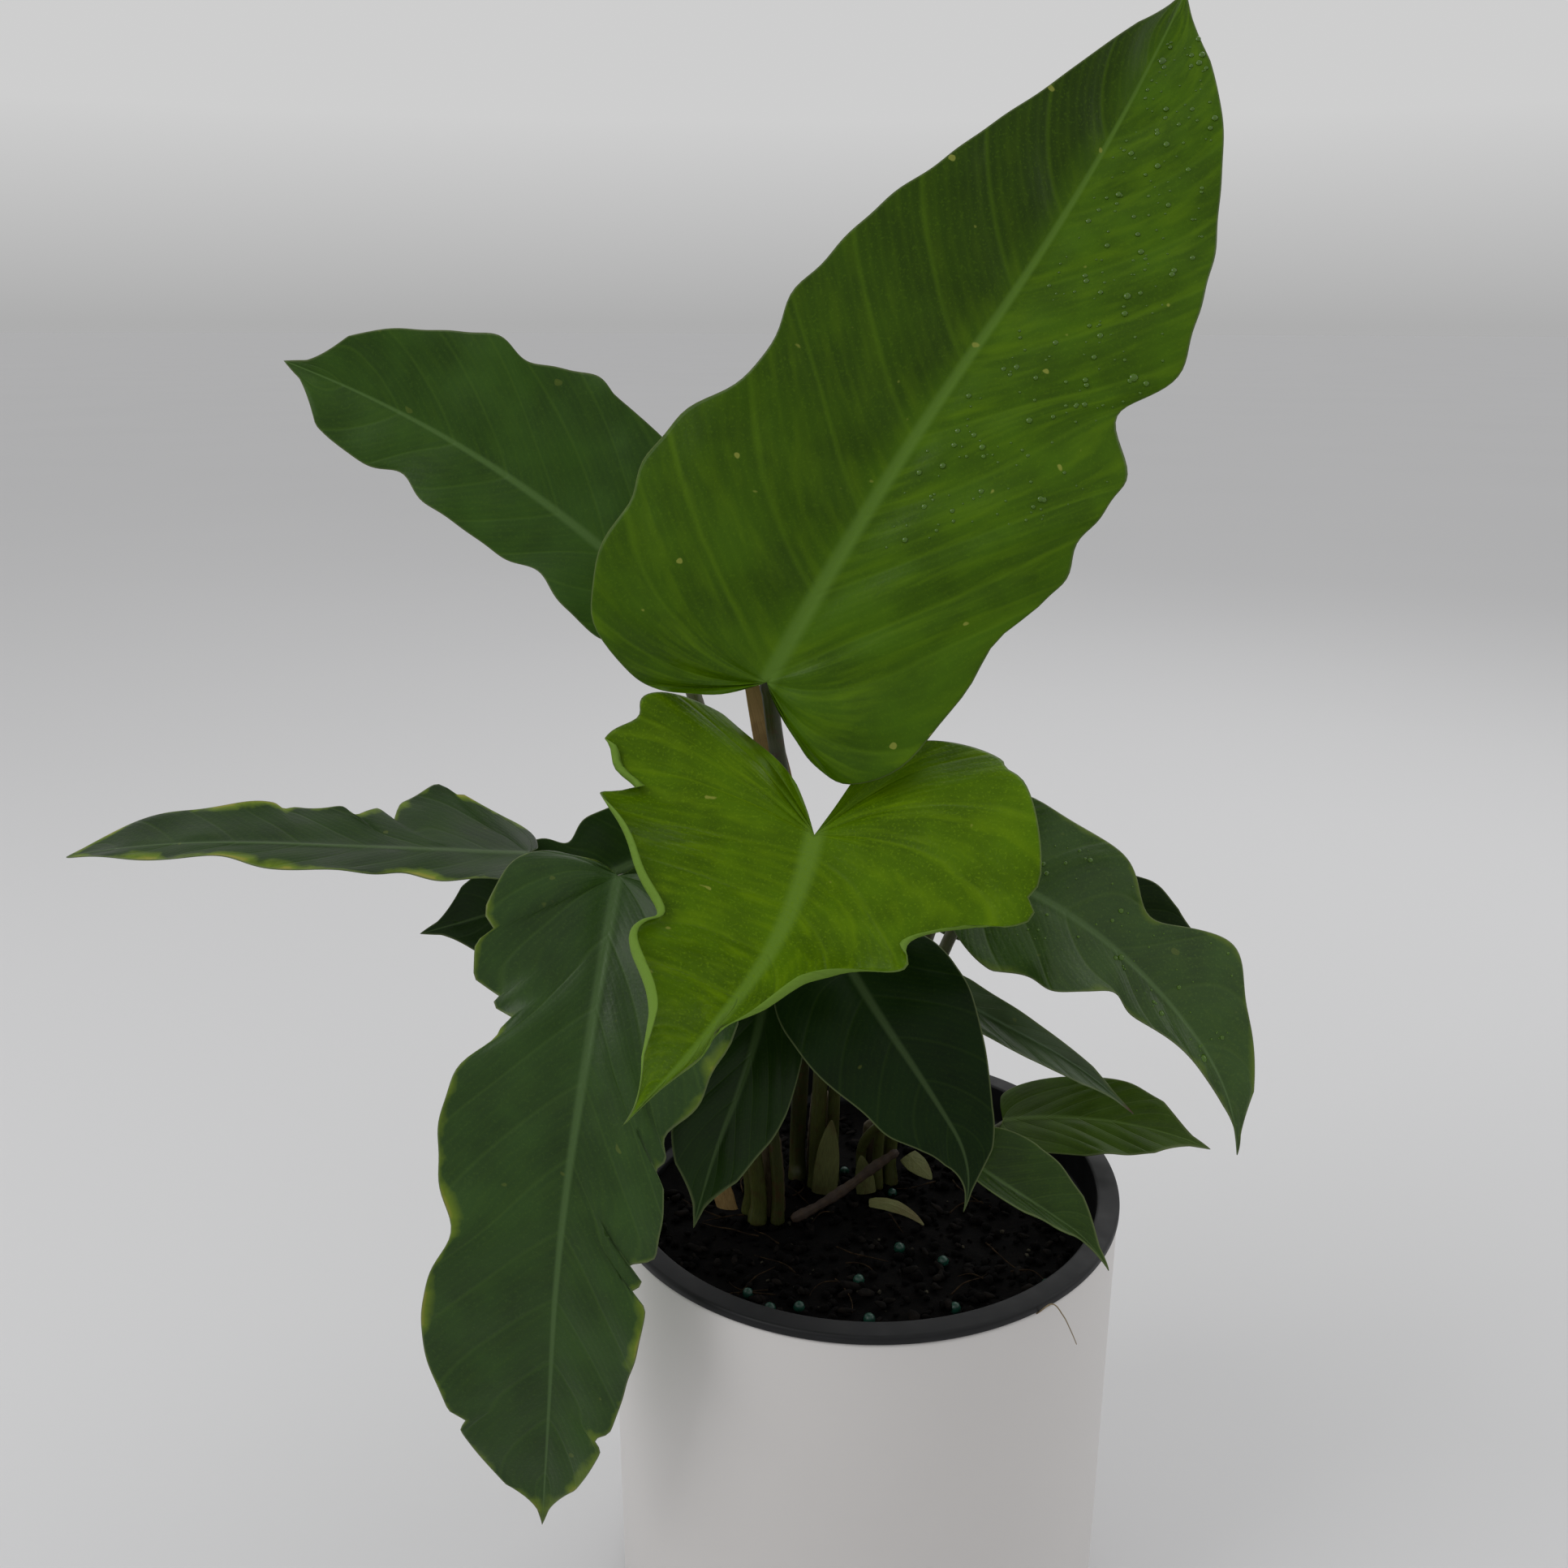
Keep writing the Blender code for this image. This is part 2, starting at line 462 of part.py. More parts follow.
def grower_pot(collection, cutters):
    """The black grower pot: lip, collar, step, tapered body and a floor with drain holes."""
    lip_under = LIP_TOP - LIP_THICKNESS
    collar_end = lip_under - COLLAR_DEPTH
    bottom = LIP_TOP - GROWER_DEPTH
    floor = bottom + GROWER_FLOOR
    inside = COLLAR_RADIUS - GROWER_WALL
    edge = LIP_THICKNESS / 4
    profile = [
        (0, floor),
        (grower_radius(floor), floor),
        (grower_radius(collar_end), collar_end),
        (inside, collar_end + COLLAR_STEP),
        (inside, LIP_TOP - edge),
        (inside + edge, LIP_TOP),
        (RIM_RADIUS - edge, LIP_TOP),
        (RIM_RADIUS, LIP_TOP - edge),
        (RIM_RADIUS, lip_under),
        (COLLAR_RADIUS, lip_under),
        (COLLAR_RADIUS, collar_end),
        (COLLAR_RADIUS - COLLAR_STEP, collar_end - COLLAR_STEP),
        (grower_radius(bottom) + GROWER_WALL, bottom),
        (0, bottom),
    ]
    pot = turned("grower_pot", profile, material("black_plastic", (0.02, 0.02, 0.022), 0.4), collection)
    mesh = bpy.data.meshes.new("drain_cutter")
    shape = bmesh.new()
    for index in range(DRAIN_HOLES):
        angle = 2 * math.pi * index / DRAIN_HOLES
        made = bmesh.ops.create_cone(
            shape,
            cap_ends=True,
            segments=12,
            radius1=DRAIN_RADIUS,
            radius2=DRAIN_RADIUS,
            depth=4 * GROWER_FLOOR,
        )
        place = (DRAIN_CIRCLE * math.cos(angle), DRAIN_CIRCLE * math.sin(angle), bottom + GROWER_FLOOR / 2)
        bmesh.ops.translate(shape, verts=made["verts"], vec=place)
    shape.to_mesh(mesh)
    shape.free()
    cutter = bpy.data.objects.new("drain_cutter", mesh)
    cutters.objects.link(cutter)
    cutter.hide_render = True
    cutter.display_type = "WIRE"
    holes = pot.modifiers.new("drain", "BOOLEAN")
    holes.operation = "DIFFERENCE"
    holes.object = cutter


def potting_mix(collection):
    """The potting mix, filling the grower pot up to its surface."""
    bottom = LIP_TOP - GROWER_DEPTH + GROWER_FLOOR + GAP
    profile = [
        (0, MIX_TOP),
        (grower_radius(MIX_TOP) - GAP - MIX_BEVEL, MIX_TOP),
        (grower_radius(MIX_TOP - MIX_BEVEL) - GAP, MIX_TOP - MIX_BEVEL),
        (grower_radius(bottom) - GAP, bottom),
        (0, bottom),
    ]
    turned("potting_mix", profile, material("dark_potting_mix", (0.012, 0.009, 0.007), 0.95), collection)


def rim_shift(shape):
    """How far, in mm, a leaf that lies over the rim moves out when the rim is wider."""
    if not shape["over_rim"]:
        return np.zeros(3)
    middle = np.mean(Blade(shape).points, axis=0) * (1, 1, 0)
    return unit(middle) * (RIM_RADIUS - DESIGN_RIM) / MM


def sheet_faces(rows, columns):
    """Triangles of a closed sheet: an upper grid, a lower one split alike, and the strip between."""
    grid = np.arange(rows * columns).reshape(rows, columns)
    a, b, c, d = grid[:-1, :-1], grid[:-1, 1:], grid[1:, 1:], grid[1:, :-1]
    upper = np.vstack([np.stack(corners, -1).reshape(-1, 3) for corners in ((a, b, c), (a, c, d))])
    rim = np.concatenate([grid[0, :-1], grid[:-1, -1], grid[-1, :0:-1], grid[:0:-1, 0]])
    after = np.roll(rim, -1)
    low, low_after = rim + grid.size, after + grid.size
    strip = np.vstack([np.stack([after, rim, low], -1), np.stack([after, low, low_after], -1)])
    return np.vstack([upper, upper[:, ::-1] + grid.size, strip])


def blade(name, shape, thickness, rows, columns, paint, collection):
    """A blade or a sheath: the leaf's surface moved half its thickness up and half down."""
    share, side = np.meshgrid(
        np.linspace(shape["first"], 1, rows + 1), np.linspace(-1, 1, 2 * columns + 1), indexing="ij"
    )
    middle, rise = Blade(shape).surface(share, side)
    middle = (middle + rim_shift(shape)) * MM + (0, 0, MIX_TOP)
    points = np.vstack([(middle + way * thickness / 2 * rise).reshape(-1, 3) for way in (1, -1)])
    mesh = bpy.data.meshes.new(name)
    mesh.from_pydata(points.tolist(), [], sheet_faces(*share.shape).tolist())
    sheet = bmesh.new()
    sheet.from_mesh(mesh)
    bmesh.ops.remove_doubles(sheet, verts=sheet.verts, dist=0.05 * MM)
    sheet.to_mesh(mesh)
    sheet.free()
    mesh.shade_smooth()
    return add(name, mesh, paint, collection)


def tube(name, points, radii, sides, paint, collection):
    """A tube with filled caps through points in mm on the mix, its radius changing along it."""
    curve = bpy.data.curves.new(name, "CURVE")
    curve.dimensions = "3D"
    curve.fill_mode = "FULL"
    curve.use_fill_caps = True
    curve.bevel_depth = MM
    curve.bevel_resolution = sides // 2 - 2
    spline = curve.splines.new("POLY")
    spline.points.add(len(points) - 1)
    for place, point, radius in zip(spline.points, points, radii):
        place.co = (*(np.asarray(point) * MM + (0, 0, MIX_TOP)), 1)
        place.radius = radius
    return add(name, curve, paint, collection)


def stalk(name, shape, paint, collection):
    """A petiole: up beside its crown, out through its points, to just under the blade's joint."""
    crown_name, bearing, radius, passes = shape["stalk"]
    radius = radius * STALK_SCALE
    crown = CROWNS[crown_name]
    off = crown["radius"] + CROWN_CLEARANCE / MM + FOOT_SWELL * radius
    angle = math.radians(bearing)
    foot = np.array([*crown["foot"], FOOT_GAP]) + off * np.array([math.cos(angle), math.sin(angle), 0])
    joint = np.asarray(shape["joint"], float) + rim_shift(shape)
    clear = (BLADE_THICKNESS / 2 + GAP) / MM + radius
    end = joint - Blade(shape).up[0] * clear
    route = [foot, foot + (0, 0, STRAIGHT_RISE), *passes, end]
    points = through(route, np.linspace(0, 1, STALK_POINTS))
    radii = np.linspace(FOOT_SWELL, HEAD_TAPER, STALK_POINTS) * radius
    return tube(name, points, radii, 8, paint, collection)


def leaves(collection):
    """Every leaf as its blade and its petiole."""
    for name, shape in LEAVES.items():
        shape = {**LEAF, **shape}
        green = material(name + "_green", shape["colour"], 0.35)
        blade(name + "_blade", shape, BLADE_THICKNESS, BLADE_ROWS, BLADE_COLUMNS, green, collection)
        stalk(name + "_petiole", shape, material(name + "_petiole", (0.08, 0.09, 0.03), 0.45), collection)


def crowns(collection):
    """The short stems that the leaves rise from, thick at the foot."""
    for name, crown in CROWNS.items():
        foot = np.array([*crown["foot"], GAP / MM])
        top = foot + (0, 0, crown["height"])
        middle = (foot + top) / 2
        radii = np.array([1, 0.92, 0.7]) * crown["radius"]
        paint = material(name + "_crown_stem", (0.09, 0.07, 0.03), 0.6)
        tube(name + "_crown", [foot, middle, top], radii, 12, paint, collection)


def sheaths(collection):
    """The dry sheaths that the leaves came out of."""
    for name, shape in SHEATHS.items():
        shape = {**PLAIN, **shape}
        paint = material(name + "_dry", shape["colour"], 0.7)
        blade(name, shape, SHEATH_THICKNESS, SHEATH_ROWS, SHEATH_COLUMNS, paint, collection)


def old_stem(collection):
    """The brown old stem lying aslant on the mix."""
    points = through(OLD_STEM["points"], np.linspace(0, 1, STALK_POINTS))
    radii = np.full(STALK_POINTS, OLD_STEM["radius"])
    tube("old_stem", points, radii, 8, material("old_stem_brown", (0.12, 0.06, 0.03), 0.7), collection)


def main():
    """Builds the whole potted plant."""
    clear_scene()
    parts = bpy.data.collections.new("potted_philodendron")
    cutters = bpy.data.collections.new("cutters")
    bpy.context.scene.collection.children.link(parts)
    bpy.context.scene.collection.children.link(cutters)
    cover_pot(parts)
    grower_pot(parts, cutters)
    potting_mix(parts)
    crowns(parts)
    leaves(parts)
    sheaths(parts)
    old_stem(parts)


main()
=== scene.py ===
"""Potted philodendron: its visible surfaces, built round the fixed frame.

Metres, +Z up. The plant's own sizes are in millimetres from the middle of the potting mix's surface.
"""
import math

import bmesh
import bpy
import numpy as np
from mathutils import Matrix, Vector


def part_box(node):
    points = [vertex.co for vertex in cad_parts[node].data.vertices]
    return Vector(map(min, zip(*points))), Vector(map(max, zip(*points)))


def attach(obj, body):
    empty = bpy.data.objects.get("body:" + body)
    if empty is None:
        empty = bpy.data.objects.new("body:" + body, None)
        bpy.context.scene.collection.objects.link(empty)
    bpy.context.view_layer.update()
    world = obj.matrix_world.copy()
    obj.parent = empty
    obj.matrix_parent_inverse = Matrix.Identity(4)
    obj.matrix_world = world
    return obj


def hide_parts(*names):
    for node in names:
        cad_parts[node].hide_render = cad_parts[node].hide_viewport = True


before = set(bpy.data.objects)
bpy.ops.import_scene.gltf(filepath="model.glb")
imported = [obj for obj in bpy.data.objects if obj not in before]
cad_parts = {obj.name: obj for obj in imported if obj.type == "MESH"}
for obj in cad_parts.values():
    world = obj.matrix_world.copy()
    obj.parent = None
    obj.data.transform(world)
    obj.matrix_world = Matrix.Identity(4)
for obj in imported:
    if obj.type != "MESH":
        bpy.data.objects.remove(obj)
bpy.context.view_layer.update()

bl_info = {
    "name": "Potted Philodendron",
    "version": (1, 0, 0),
    "blender": (4, 5, 0),
    "location": "3D View > Sidebar > Philodendron",
    "description": "Builds a potted philodendron with its pots, mix, stems and leaves",
    "category": "Add Mesh",
}

MM = 0.001
COVER_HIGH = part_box("cover_pot")[1]
GROWER_LOW, GROWER_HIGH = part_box("grower_pot")
MIX_LOW, MIX_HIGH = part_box("potting_mix")
LIP_TOP = GROWER_HIGH.z
MIX_TOP = MIX_HIGH.z
LIFT = np.array([0, 0, MIX_TOP / MM])

# the part's own proportions, in mm
BACK_SHARE = 0.52                 # how far out a lobe reaches furthest back, as a share of its width
DRIP = 2.0                        # what the drip tip adds to either half of a leaf
MIDRIB_STEPS = 200
STRAIGHT_RISE = 14.0              # how far a petiole climbs before it leans out
LOBE_SPAN = 50                    # how far behind the joint a lobe has lifted by its full amount
ROLL_STRIP = 4.5                  # widest strip of a margin that can be rolled up
HOOK_STARTS, HOOK_SPAN = 16, 10   # where a narrow tip sets in before the end, and over what length
FOOT_GAP = 0.5
CROWN_CLEARANCE = 0.6

CROWNS = {
    "left": {"foot": (-27, 2), "height": 26, "radius": 4.2},
    "centre": {"foot": (-12, 22), "height": 30, "radius": 4.4},
    "right": {"foot": (4, 20), "height": 20, "radius": 4.0},
}

# Leaves. joint, length, heading, face, fold, curl, lobe, ruffle, width and fan place the blade as in
# the frame; left and right are its margins. veins: side veins in a half. rib: half width of the
# midrib. quilt: how far the tissue stands up between veins. nicks: torn places as (place, depth,
# half length) for either side. roll: margins rolled up as (middle, half span, turn) along the
# outline for either side. skin: its finish. stalk: crown, bearing, radius and the points it passes.
LEAF = {"foot": 0, "first": 0.02, "nicks": ([], []), "roll": ([], []), "quilt": 0.25, "rib": 1.5,
        "veins": 8, "scallop": 0.02, "hook": 0.55}
LEAVES = {
    "tall_leaf": {
        "joint": (-28, -19, 169), "length": 207,
        "heading": [(0.48, 0.08, 0.87), (0.57, 0.3, 0.76), (0.42, 0.37, 0.83)],
        "face": [(-0.05, -1, 0.25), (0, -1, 0.3), (0.1, -1, 0.28)],
        "fold": (14, 22), "curl": ((-22, -10), (-26, -8)), "lobe": -6, "ruffle": (3.0, 4.5, 0.6, 2.2),
        "width": 52, "fan": 0.3,
        "left": (16, 54, 20, 1.8, 1, [(66, 8, 14)]),
        "right": (13, 50, 54, 2.8, 1, [(38, 5, 12), (103, 8, 8)]),
        "veins": 13, "rib": 2.7, "quilt": 0.9, "scallop": 0.036, "hook": 0.2, "skin": "tall",
        "stalk": ("centre", 200, 2.3, [(-18, 8, 70), (-22, 0, 122), (-26, -10, 152)]),
    },
    "new_leaf": {
        "joint": (-16, -35, 133), "length": 104,
        "heading": [(-0.2, -0.76, -0.62), (-0.43, -0.88, -0.2), (-0.45, -0.89, -0.08)],
        "face": [(-0.02, -0.62, 0.78), (0, -0.72, 0.7), (0, -0.8, 0.6)],
        "fold": (8, 8), "curl": ((-10, -10), (4, 6)), "lobe": 5, "ruffle": (5.5, 3.5, 0.0, 1.2),
        "width": 60, "fan": 0.42,
        "left": (35, 57, 12, 1, 3, [(22, 6, 5)]),
        "right": (30, 59, -11, 1.5, 1.3, [(44, 5, 6), (60, -5, 9)]),
        "veins": 11, "rib": 3.0, "quilt": 0.5, "skin": "young",
        "nicks": ([(-26, 2, 2), (8, 2.5, 2), (66, 4, 6)], [(-20, 4, 3), (-2, 8, 4)]),
        "roll": ([(0.48, 0.035, 200), (0.7, 0.13, 200)], [(0.44, 0.03, 230), (0.74, 0.22, 165)]),
        "stalk": ("centre", 260, 2.2, [(-12, 6, 60), (-12, -8, 100), (-14, -22, 120)]),
    },
    "back_left_leaf": {
        "joint": (-60, 26, 183), "length": 124,
        "heading": [(-0.72, 0.18, 0.66), (-0.84, 0.19, 0.5), (-0.94, 0.08, 0.34)],
        "face": [(-0.1, -1, 0.35), (-0.1, -1, 0.25), (-0.1, -1, 0.15)],
        "fold": (12, 18), "curl": ((-12, -8), (-14, -8)), "lobe": -5, "ruffle": (2.2, 3.5, 0.3, 2.0),
        "width": 40, "fan": 0.3,
        "left": (6, 20, 12, 8, 1, [(30, 3, 8), (79, 4, 7)]),
        "right": (10, 36, 40, 2.2, 1, [(62, 3, 6)]),
        "veins": 10, "rib": 1.8, "quilt": 0.4, "scallop": 0.045, "skin": "back",
        "stalk": ("left", 96, 2.2, [(-31, 12, 70), (-41, 16, 126), (-52, 23, 164)]),
    },
    "side_left_leaf": {
        "joint": (-97, 14, 110), "length": 132,
        "heading": [(-0.82, -0.5, 0.22), (-0.98, -0.1, 0.08), (-0.93, 0.3, -0.27)],
        "face": [(0, -0.14, 1), (0, -0.1, 1), (-0.1, -0.2, 1)],
        "fold": (3, 6), "curl": ((-14, -10), (8, 0)), "lobe": 0, "ruffle": (1.6, 4.5, 0.5, 2.0),
        "width": 32, "fan": 0.24,
        "left": (4, 19, 14, 1.8, 1, [(36, 5, 6), (80, 3, 8)]),
        "right": (7, 22, 22, 6, 1, [(22, -14, 14), (46, 3, 4)]),
        "veins": 10, "hook": 0, "skin": "side",
        "nicks": ([], [(39, 11, 2.2), (50, 5, 3), (72, 2, 2), (16, 3, 2)]),
        "stalk": ("left", 190, 1.9, [(-42, 6, 52), (-64, 11, 90), (-84, 13, 104)]),
    },
    "drooping_leaf": {
        "joint": (-67, -22, 117), "length": 186,
        "heading": [(-0.1, -0.76, -0.64), (-0.15, -0.36, -0.92), (-0.09, 0.03, -1), (-0.11, 0.1, -1)],
        "face": [(-0.05, -0.75, 0.68), (-0.05, -0.95, 0.35), (-0.03, -1, 0.05), (-0.03, -1, -0.05)],
        "fold": (12, 16), "curl": ((-10, -4), (-10, -6)), "lobe": -4, "ruffle": (2.6, 5, 0.2, 1.4),
        "width": 40, "fan": 0.24,
        "left": (3, 26, 42, 3.5, 1, [(34, -12, 20), (64, 4, 5)]),
        "right": (6, 33, 24, 6, 1.5, [(44, 10, 8), (94, 5, 8), (122, -3, 12)]),
        "veins": 13, "rib": 1.8, "quilt": 0.5, "scallop": 0.03, "skin": "edged",
        "nicks": ([(72, 3, 2), (98, 7, 2.4), (104, 4, 2), (150, 3, 2)],
                  [(20, 4, 2.5), (36, 5, 2), (41, 4, 1.6), (146, 3, 2)]),
        "stalk": ("left", 235, 2.3, [(-38, -6, 60), (-52, -12, 98), (-63, -17, 112)]),
    },
    "behind_left_leaf": {
        "joint": (-68, 38, 99), "length": 69,
        "heading": [(-0.9, -0.28, -0.34), (-0.95, -0.2, -0.24), (-0.96, -0.08, -0.25)],
        "face": [(-0.15, -0.85, 0.55), (-0.1, -1, 0.4), (-0.1, -1, 0.3)],
        "fold": (12, 14), "curl": ((-8, -6), (-8, -6)), "lobe": -3, "ruffle": (1.4, 3, 0.2, 1.4),
        "width": 30, "fan": 0.3,
        "left": (5, 21, 24, 1.6, 1, []), "right": (10, 19, 2, 3, 1, [(18, 5, 5)]), "skin": "dark",
        "stalk": ("left", 142, 1.8, [(-37, 13, 46), (-49, 25, 76), (-60, 35, 88)]),
    },
    "small_dark_leaf": {
        "joint": (-28, -24, 87), "length": 67,
        "heading": [(-0.15, -0.66, -0.74), (-0.38, -0.42, -0.83), (-0.22, -0.1, -0.97)],
        "face": [(-0.1, -0.75, 0.6), (-0.05, -1, 0.3), (0, -1, 0.1)],
        "fold": (8, 14), "curl": ((-10, -6), (-10, -6)), "lobe": -3, "ruffle": (0.8, 3, 0.2, 1.4),
        "width": 30, "fan": 0.3,
        "left": (5, 14, 30, 1.4, 1, []), "right": (5, 17, 26, 2, 1.3, []), "skin": "dark",
        "stalk": ("left", 285, 1.7, [(-27, -6, 40), (-26, -12, 66), (-27, -19, 80)]),
    },
    "centre_leaf": {
        "joint": (-6, -28, 93), "length": 73,
        "heading": [(0.48, -0.64, -0.6), (0.57, -0.4, -0.73), (0.52, -0.15, -0.85), (-0.25, -0.05, -0.97)],
        "face": [(0.1, -0.7, 0.7), (0.15, -0.95, 0.4), (0.2, -1, 0.15)],
        "fold": (10, 14), "curl": ((-12, -8), (-12, -8)), "lobe": -4, "ruffle": (0.8, 3, 0.4, 1.4),
        "width": 36, "fan": 0.3,
        "left": (6, 25, 12, 1.7, 1.4, []), "right": (7, 25, 7, 1.5, 1.4, [(40, -2, 6)]), "skin": "deep",
        "stalk": ("centre", 300, 1.8, [(-8, 10, 44), (-7, -6, 74), (-7, -20, 88)]),
    },
    "right_leaf": {
        "joint": (36, 4, 107), "length": 107,
        "heading": [(0.82, -0.55, -0.15), (0.76, -0.35, -0.55), (0.58, -0.23, -0.78), (0.1, -0.05, -1)],
        "face": [(0.15, -0.75, 0.65), (0.25, -0.9, 0.45), (0.4, -0.9, 0.25)],
        "fold": (10, 20), "curl": ((-16, -10), (-18, -14)), "lobe": -6, "ruffle": (2.6, 4, 0.9, 2.6),
        "width": 40, "fan": 0.3,
        "left": (10, 26, 0, 2.2, 1, [(39, 10, 9), (60, -6, 8)]),
        "right": (7, 26, 14, 1, 1.6, [(32, -4, 6), (46, 4, 5)]),
        "veins": 9, "quilt": 0.6, "skin": "right",
        "stalk": ("right", 330, 1.9, [(14, 13, 50), (24, 11, 84), (32, 8, 101)]),
    },
    "behind_right_leaf": {
        "joint": (32, 34, 96), "length": 78,
        "heading": [(0.97, -0.24, -0.08), (0.96, -0.22, -0.17), (0.84, -0.06, -0.54)],
        "face": [(0.1, -0.7, 0.7), (0.2, -0.8, 0.6), (0.3, -0.9, 0.4)],
        "fold": (10, 14), "curl": ((-12, -8), (-12, -8)), "lobe": -4, "ruffle": (1.0, 3, 0.4, 1.4),
        "width": 30, "fan": 0.3,
        "left": (7, 16, 16, 1.5, 1, [(54, -2, 6)]), "right": (11, 23, 8, 2, 1, []), "skin": "plain",
        "stalk": ("right", 62, 1.8, [(14, 24, 46), (20, 30, 76), (27, 33, 90)]),
    },
    "narrow_leaf": {
        "joint": (21, 2, 74), "length": 64,
        "heading": [(0.76, -0.6, -0.25), (0.88, -0.38, -0.34), (0.7, -0.36, -0.62)],
        "face": [(0.15, -0.8, 0.6), (0.15, -0.8, 0.6), (0.3, -0.8, 0.6)],
        "fold": (30, 34), "curl": ((0, 0), (0, 0)), "lobe": -2, "ruffle": (0.8, 2.5, 0.4, 1.4),
        "width": 26, "fan": 0.25,
        "left": (3, 7, 8, 1.2, 1, []), "right": (3, 8, 12, 3.5, 1, []), "rib": 0.8, "skin": "narrow",
        "stalk": ("right", 285, 1.5, [(8, 10, 36), (13, 6, 60), (18, 4, 71)]),
    },
    "low_right_leaf": {
        "joint": (45, 22, 19), "length": 64,
        "heading": [(0.8, -0.44, 0.4), (0.93, -0.33, 0.06), (0.92, -0.15, -0.36)],
        "face": [(0.1, -0.55, 0.8), (0.15, -0.6, 0.8), (0.3, -0.7, 0.6)],
        "fold": (8, 14), "curl": ((-8, -6), (-10, -6)), "lobe": -2, "ruffle": (0.6, 3, 0.4, 1.4),
        "width": 28, "fan": 0.2,
        "left": (1, 14, 28, 1.8, 1, []), "right": (1, 13, 28, 1.5, 1, []), "rib": 0.9, "skin": "light",
        "stalk": ("right", 16, 1.5, [(18, 23, 21), (29, 24, 19), (40, 24, 14)]),
    },
    "rim_leaf": {
        "joint": (27, -39, 42), "length": 47,
        "heading": [(0.82, -0.5, -0.35), (0.81, 0, -0.58), (0.8, -0.02, -0.58), (0.4, -0.8, -0.5)],
        "face": [(0.1, -0.6, 0.8), (0.2, -0.55, 0.8), (0.3, -0.5, 0.8)],
        "fold": (28, 34), "curl": ((-10, -6), (0, -6)), "lobe": 0, "ruffle": (0.5, 3, 0.4, 1.4),
        "width": 24, "fan": 0.2,
        "left": (3, 14, 12, 1.6, 1, []), "right": (1, 6, 16, 1.2, 1, []), "rib": 0.8, "skin": "folded",
        "stalk": ("right", 240, 1.5, [(6, 2, 30), (12, -16, 44), (21, -33, 45)]),
    },
}

# Dry sheaths: blades with a broad foot, no fold and no ruffle
PLAIN = {**LEAF, "fold": (0, 0), "lobe": 0, "ruffle": (0, 1, 0, 0), "width": 6, "fan": 0.1, "first": 0,
         "veins": 5, "quilt": 0.12, "rib": 0.3, "scallop": 0.012, "hook": 0}
SHEATHS = {
    "tall_sheath": {
        "joint": (-18.5, 21, 40), "length": 137, "foot": 4, "skin": "dry_brown",
        "heading": [(-0.01, -0.17, 0.98), (-0.06, -0.2, 0.98), (-0.13, -0.25, 0.96), (-0.3, -0.23, 0.9)],
        "face": [(0, -1, 0), (0, -1, 0)], "curl": ((70, 40), (70, 40)),
        "left": (0, 5.5, 60, 4, 1, []), "right": (0, 5.5, 60, 4, 1, []),
    },
    "left_sheath": {
        "joint": (-40.5, 1, 1), "length": 19, "foot": 3.5, "skin": "dry_brown",
        "heading": [(-0.12, -0.12, 1), (-0.3, -0.1, 0.95)],
        "face": [(-0.3, -1, 0), (-0.3, -1, 0)], "curl": ((-40, -20), (-40, -20)),
        "left": (0, 4, 6, 1.6, 1, []), "right": (0, 3, 6, 1.6, 1, []),
    },
    "centre_sheath": {
        "joint": (-11, 9, 1), "length": 27, "foot": 4, "skin": "dry_cream",
        "heading": [(0.07, -0.07, 1), (0.07, -0.07, 1)],
        "face": [(0, -1, 0.1), (0, -1, 0.1)], "curl": ((-50, -20), (-50, -20)),
        "left": (0, 4, 8, 2.2, 1, []), "right": (0, 4, 8, 2.2, 1, []),
    },
    "right_sheath": {
        "joint": (2, 9.5, 1), "length": 14, "foot": 3, "skin": "dry_cream",
        "heading": [(-0.14, -0.07, 1), (-0.14, -0.07, 1)],
        "face": [(0, -1, 0.1), (0, -1, 0.1)], "curl": ((-40, -20), (-40, -20)),
        "left": (0, 3, 5, 2, 1, []), "right": (0, 3, 5, 2, 1, []),
    },
    "curled_sheath": {
        "joint": (2, -3, 6), "length": 18, "foot": 1, "skin": "dry_cream",
        "heading": [(0.98, -0.16, 0.2), (0.9, -0.2, -0.3), (0.7, -0.35, -0.65)],
        "face": [(0, -0.6, 1), (0.4, -0.6, 0.8), (1, -0.5, 0.3)], "curl": ((-30, -30), (-30, -30)),
        "left": (0, 2, 8, 2, 1, []), "right": (0, 2, 8, 2, 1, []),
    },
    "pointed_sheath": {
        "joint": (15, 17, 10), "length": 11, "foot": 3, "skin": "dry_cream",
        "heading": [(0.6, -0.75, -0.25), (0.65, -0.65, -0.45)],
        "face": [(0.2, -0.6, 0.8), (0.2, -0.6, 0.8)], "curl": ((-30, -20), (-30, -20)),
        "left": (0, 3.5, 4, 1.6, 1, []), "right": (0, 3.5, 4, 1.6, 1, []),
    },
}
OLD_STEM = {"points": [(-21, -6, 2.2), (-13, -3, 5), (-4, 1, 9), (4, 4, 14), (11, 6, 18)], "radius": 1.7}

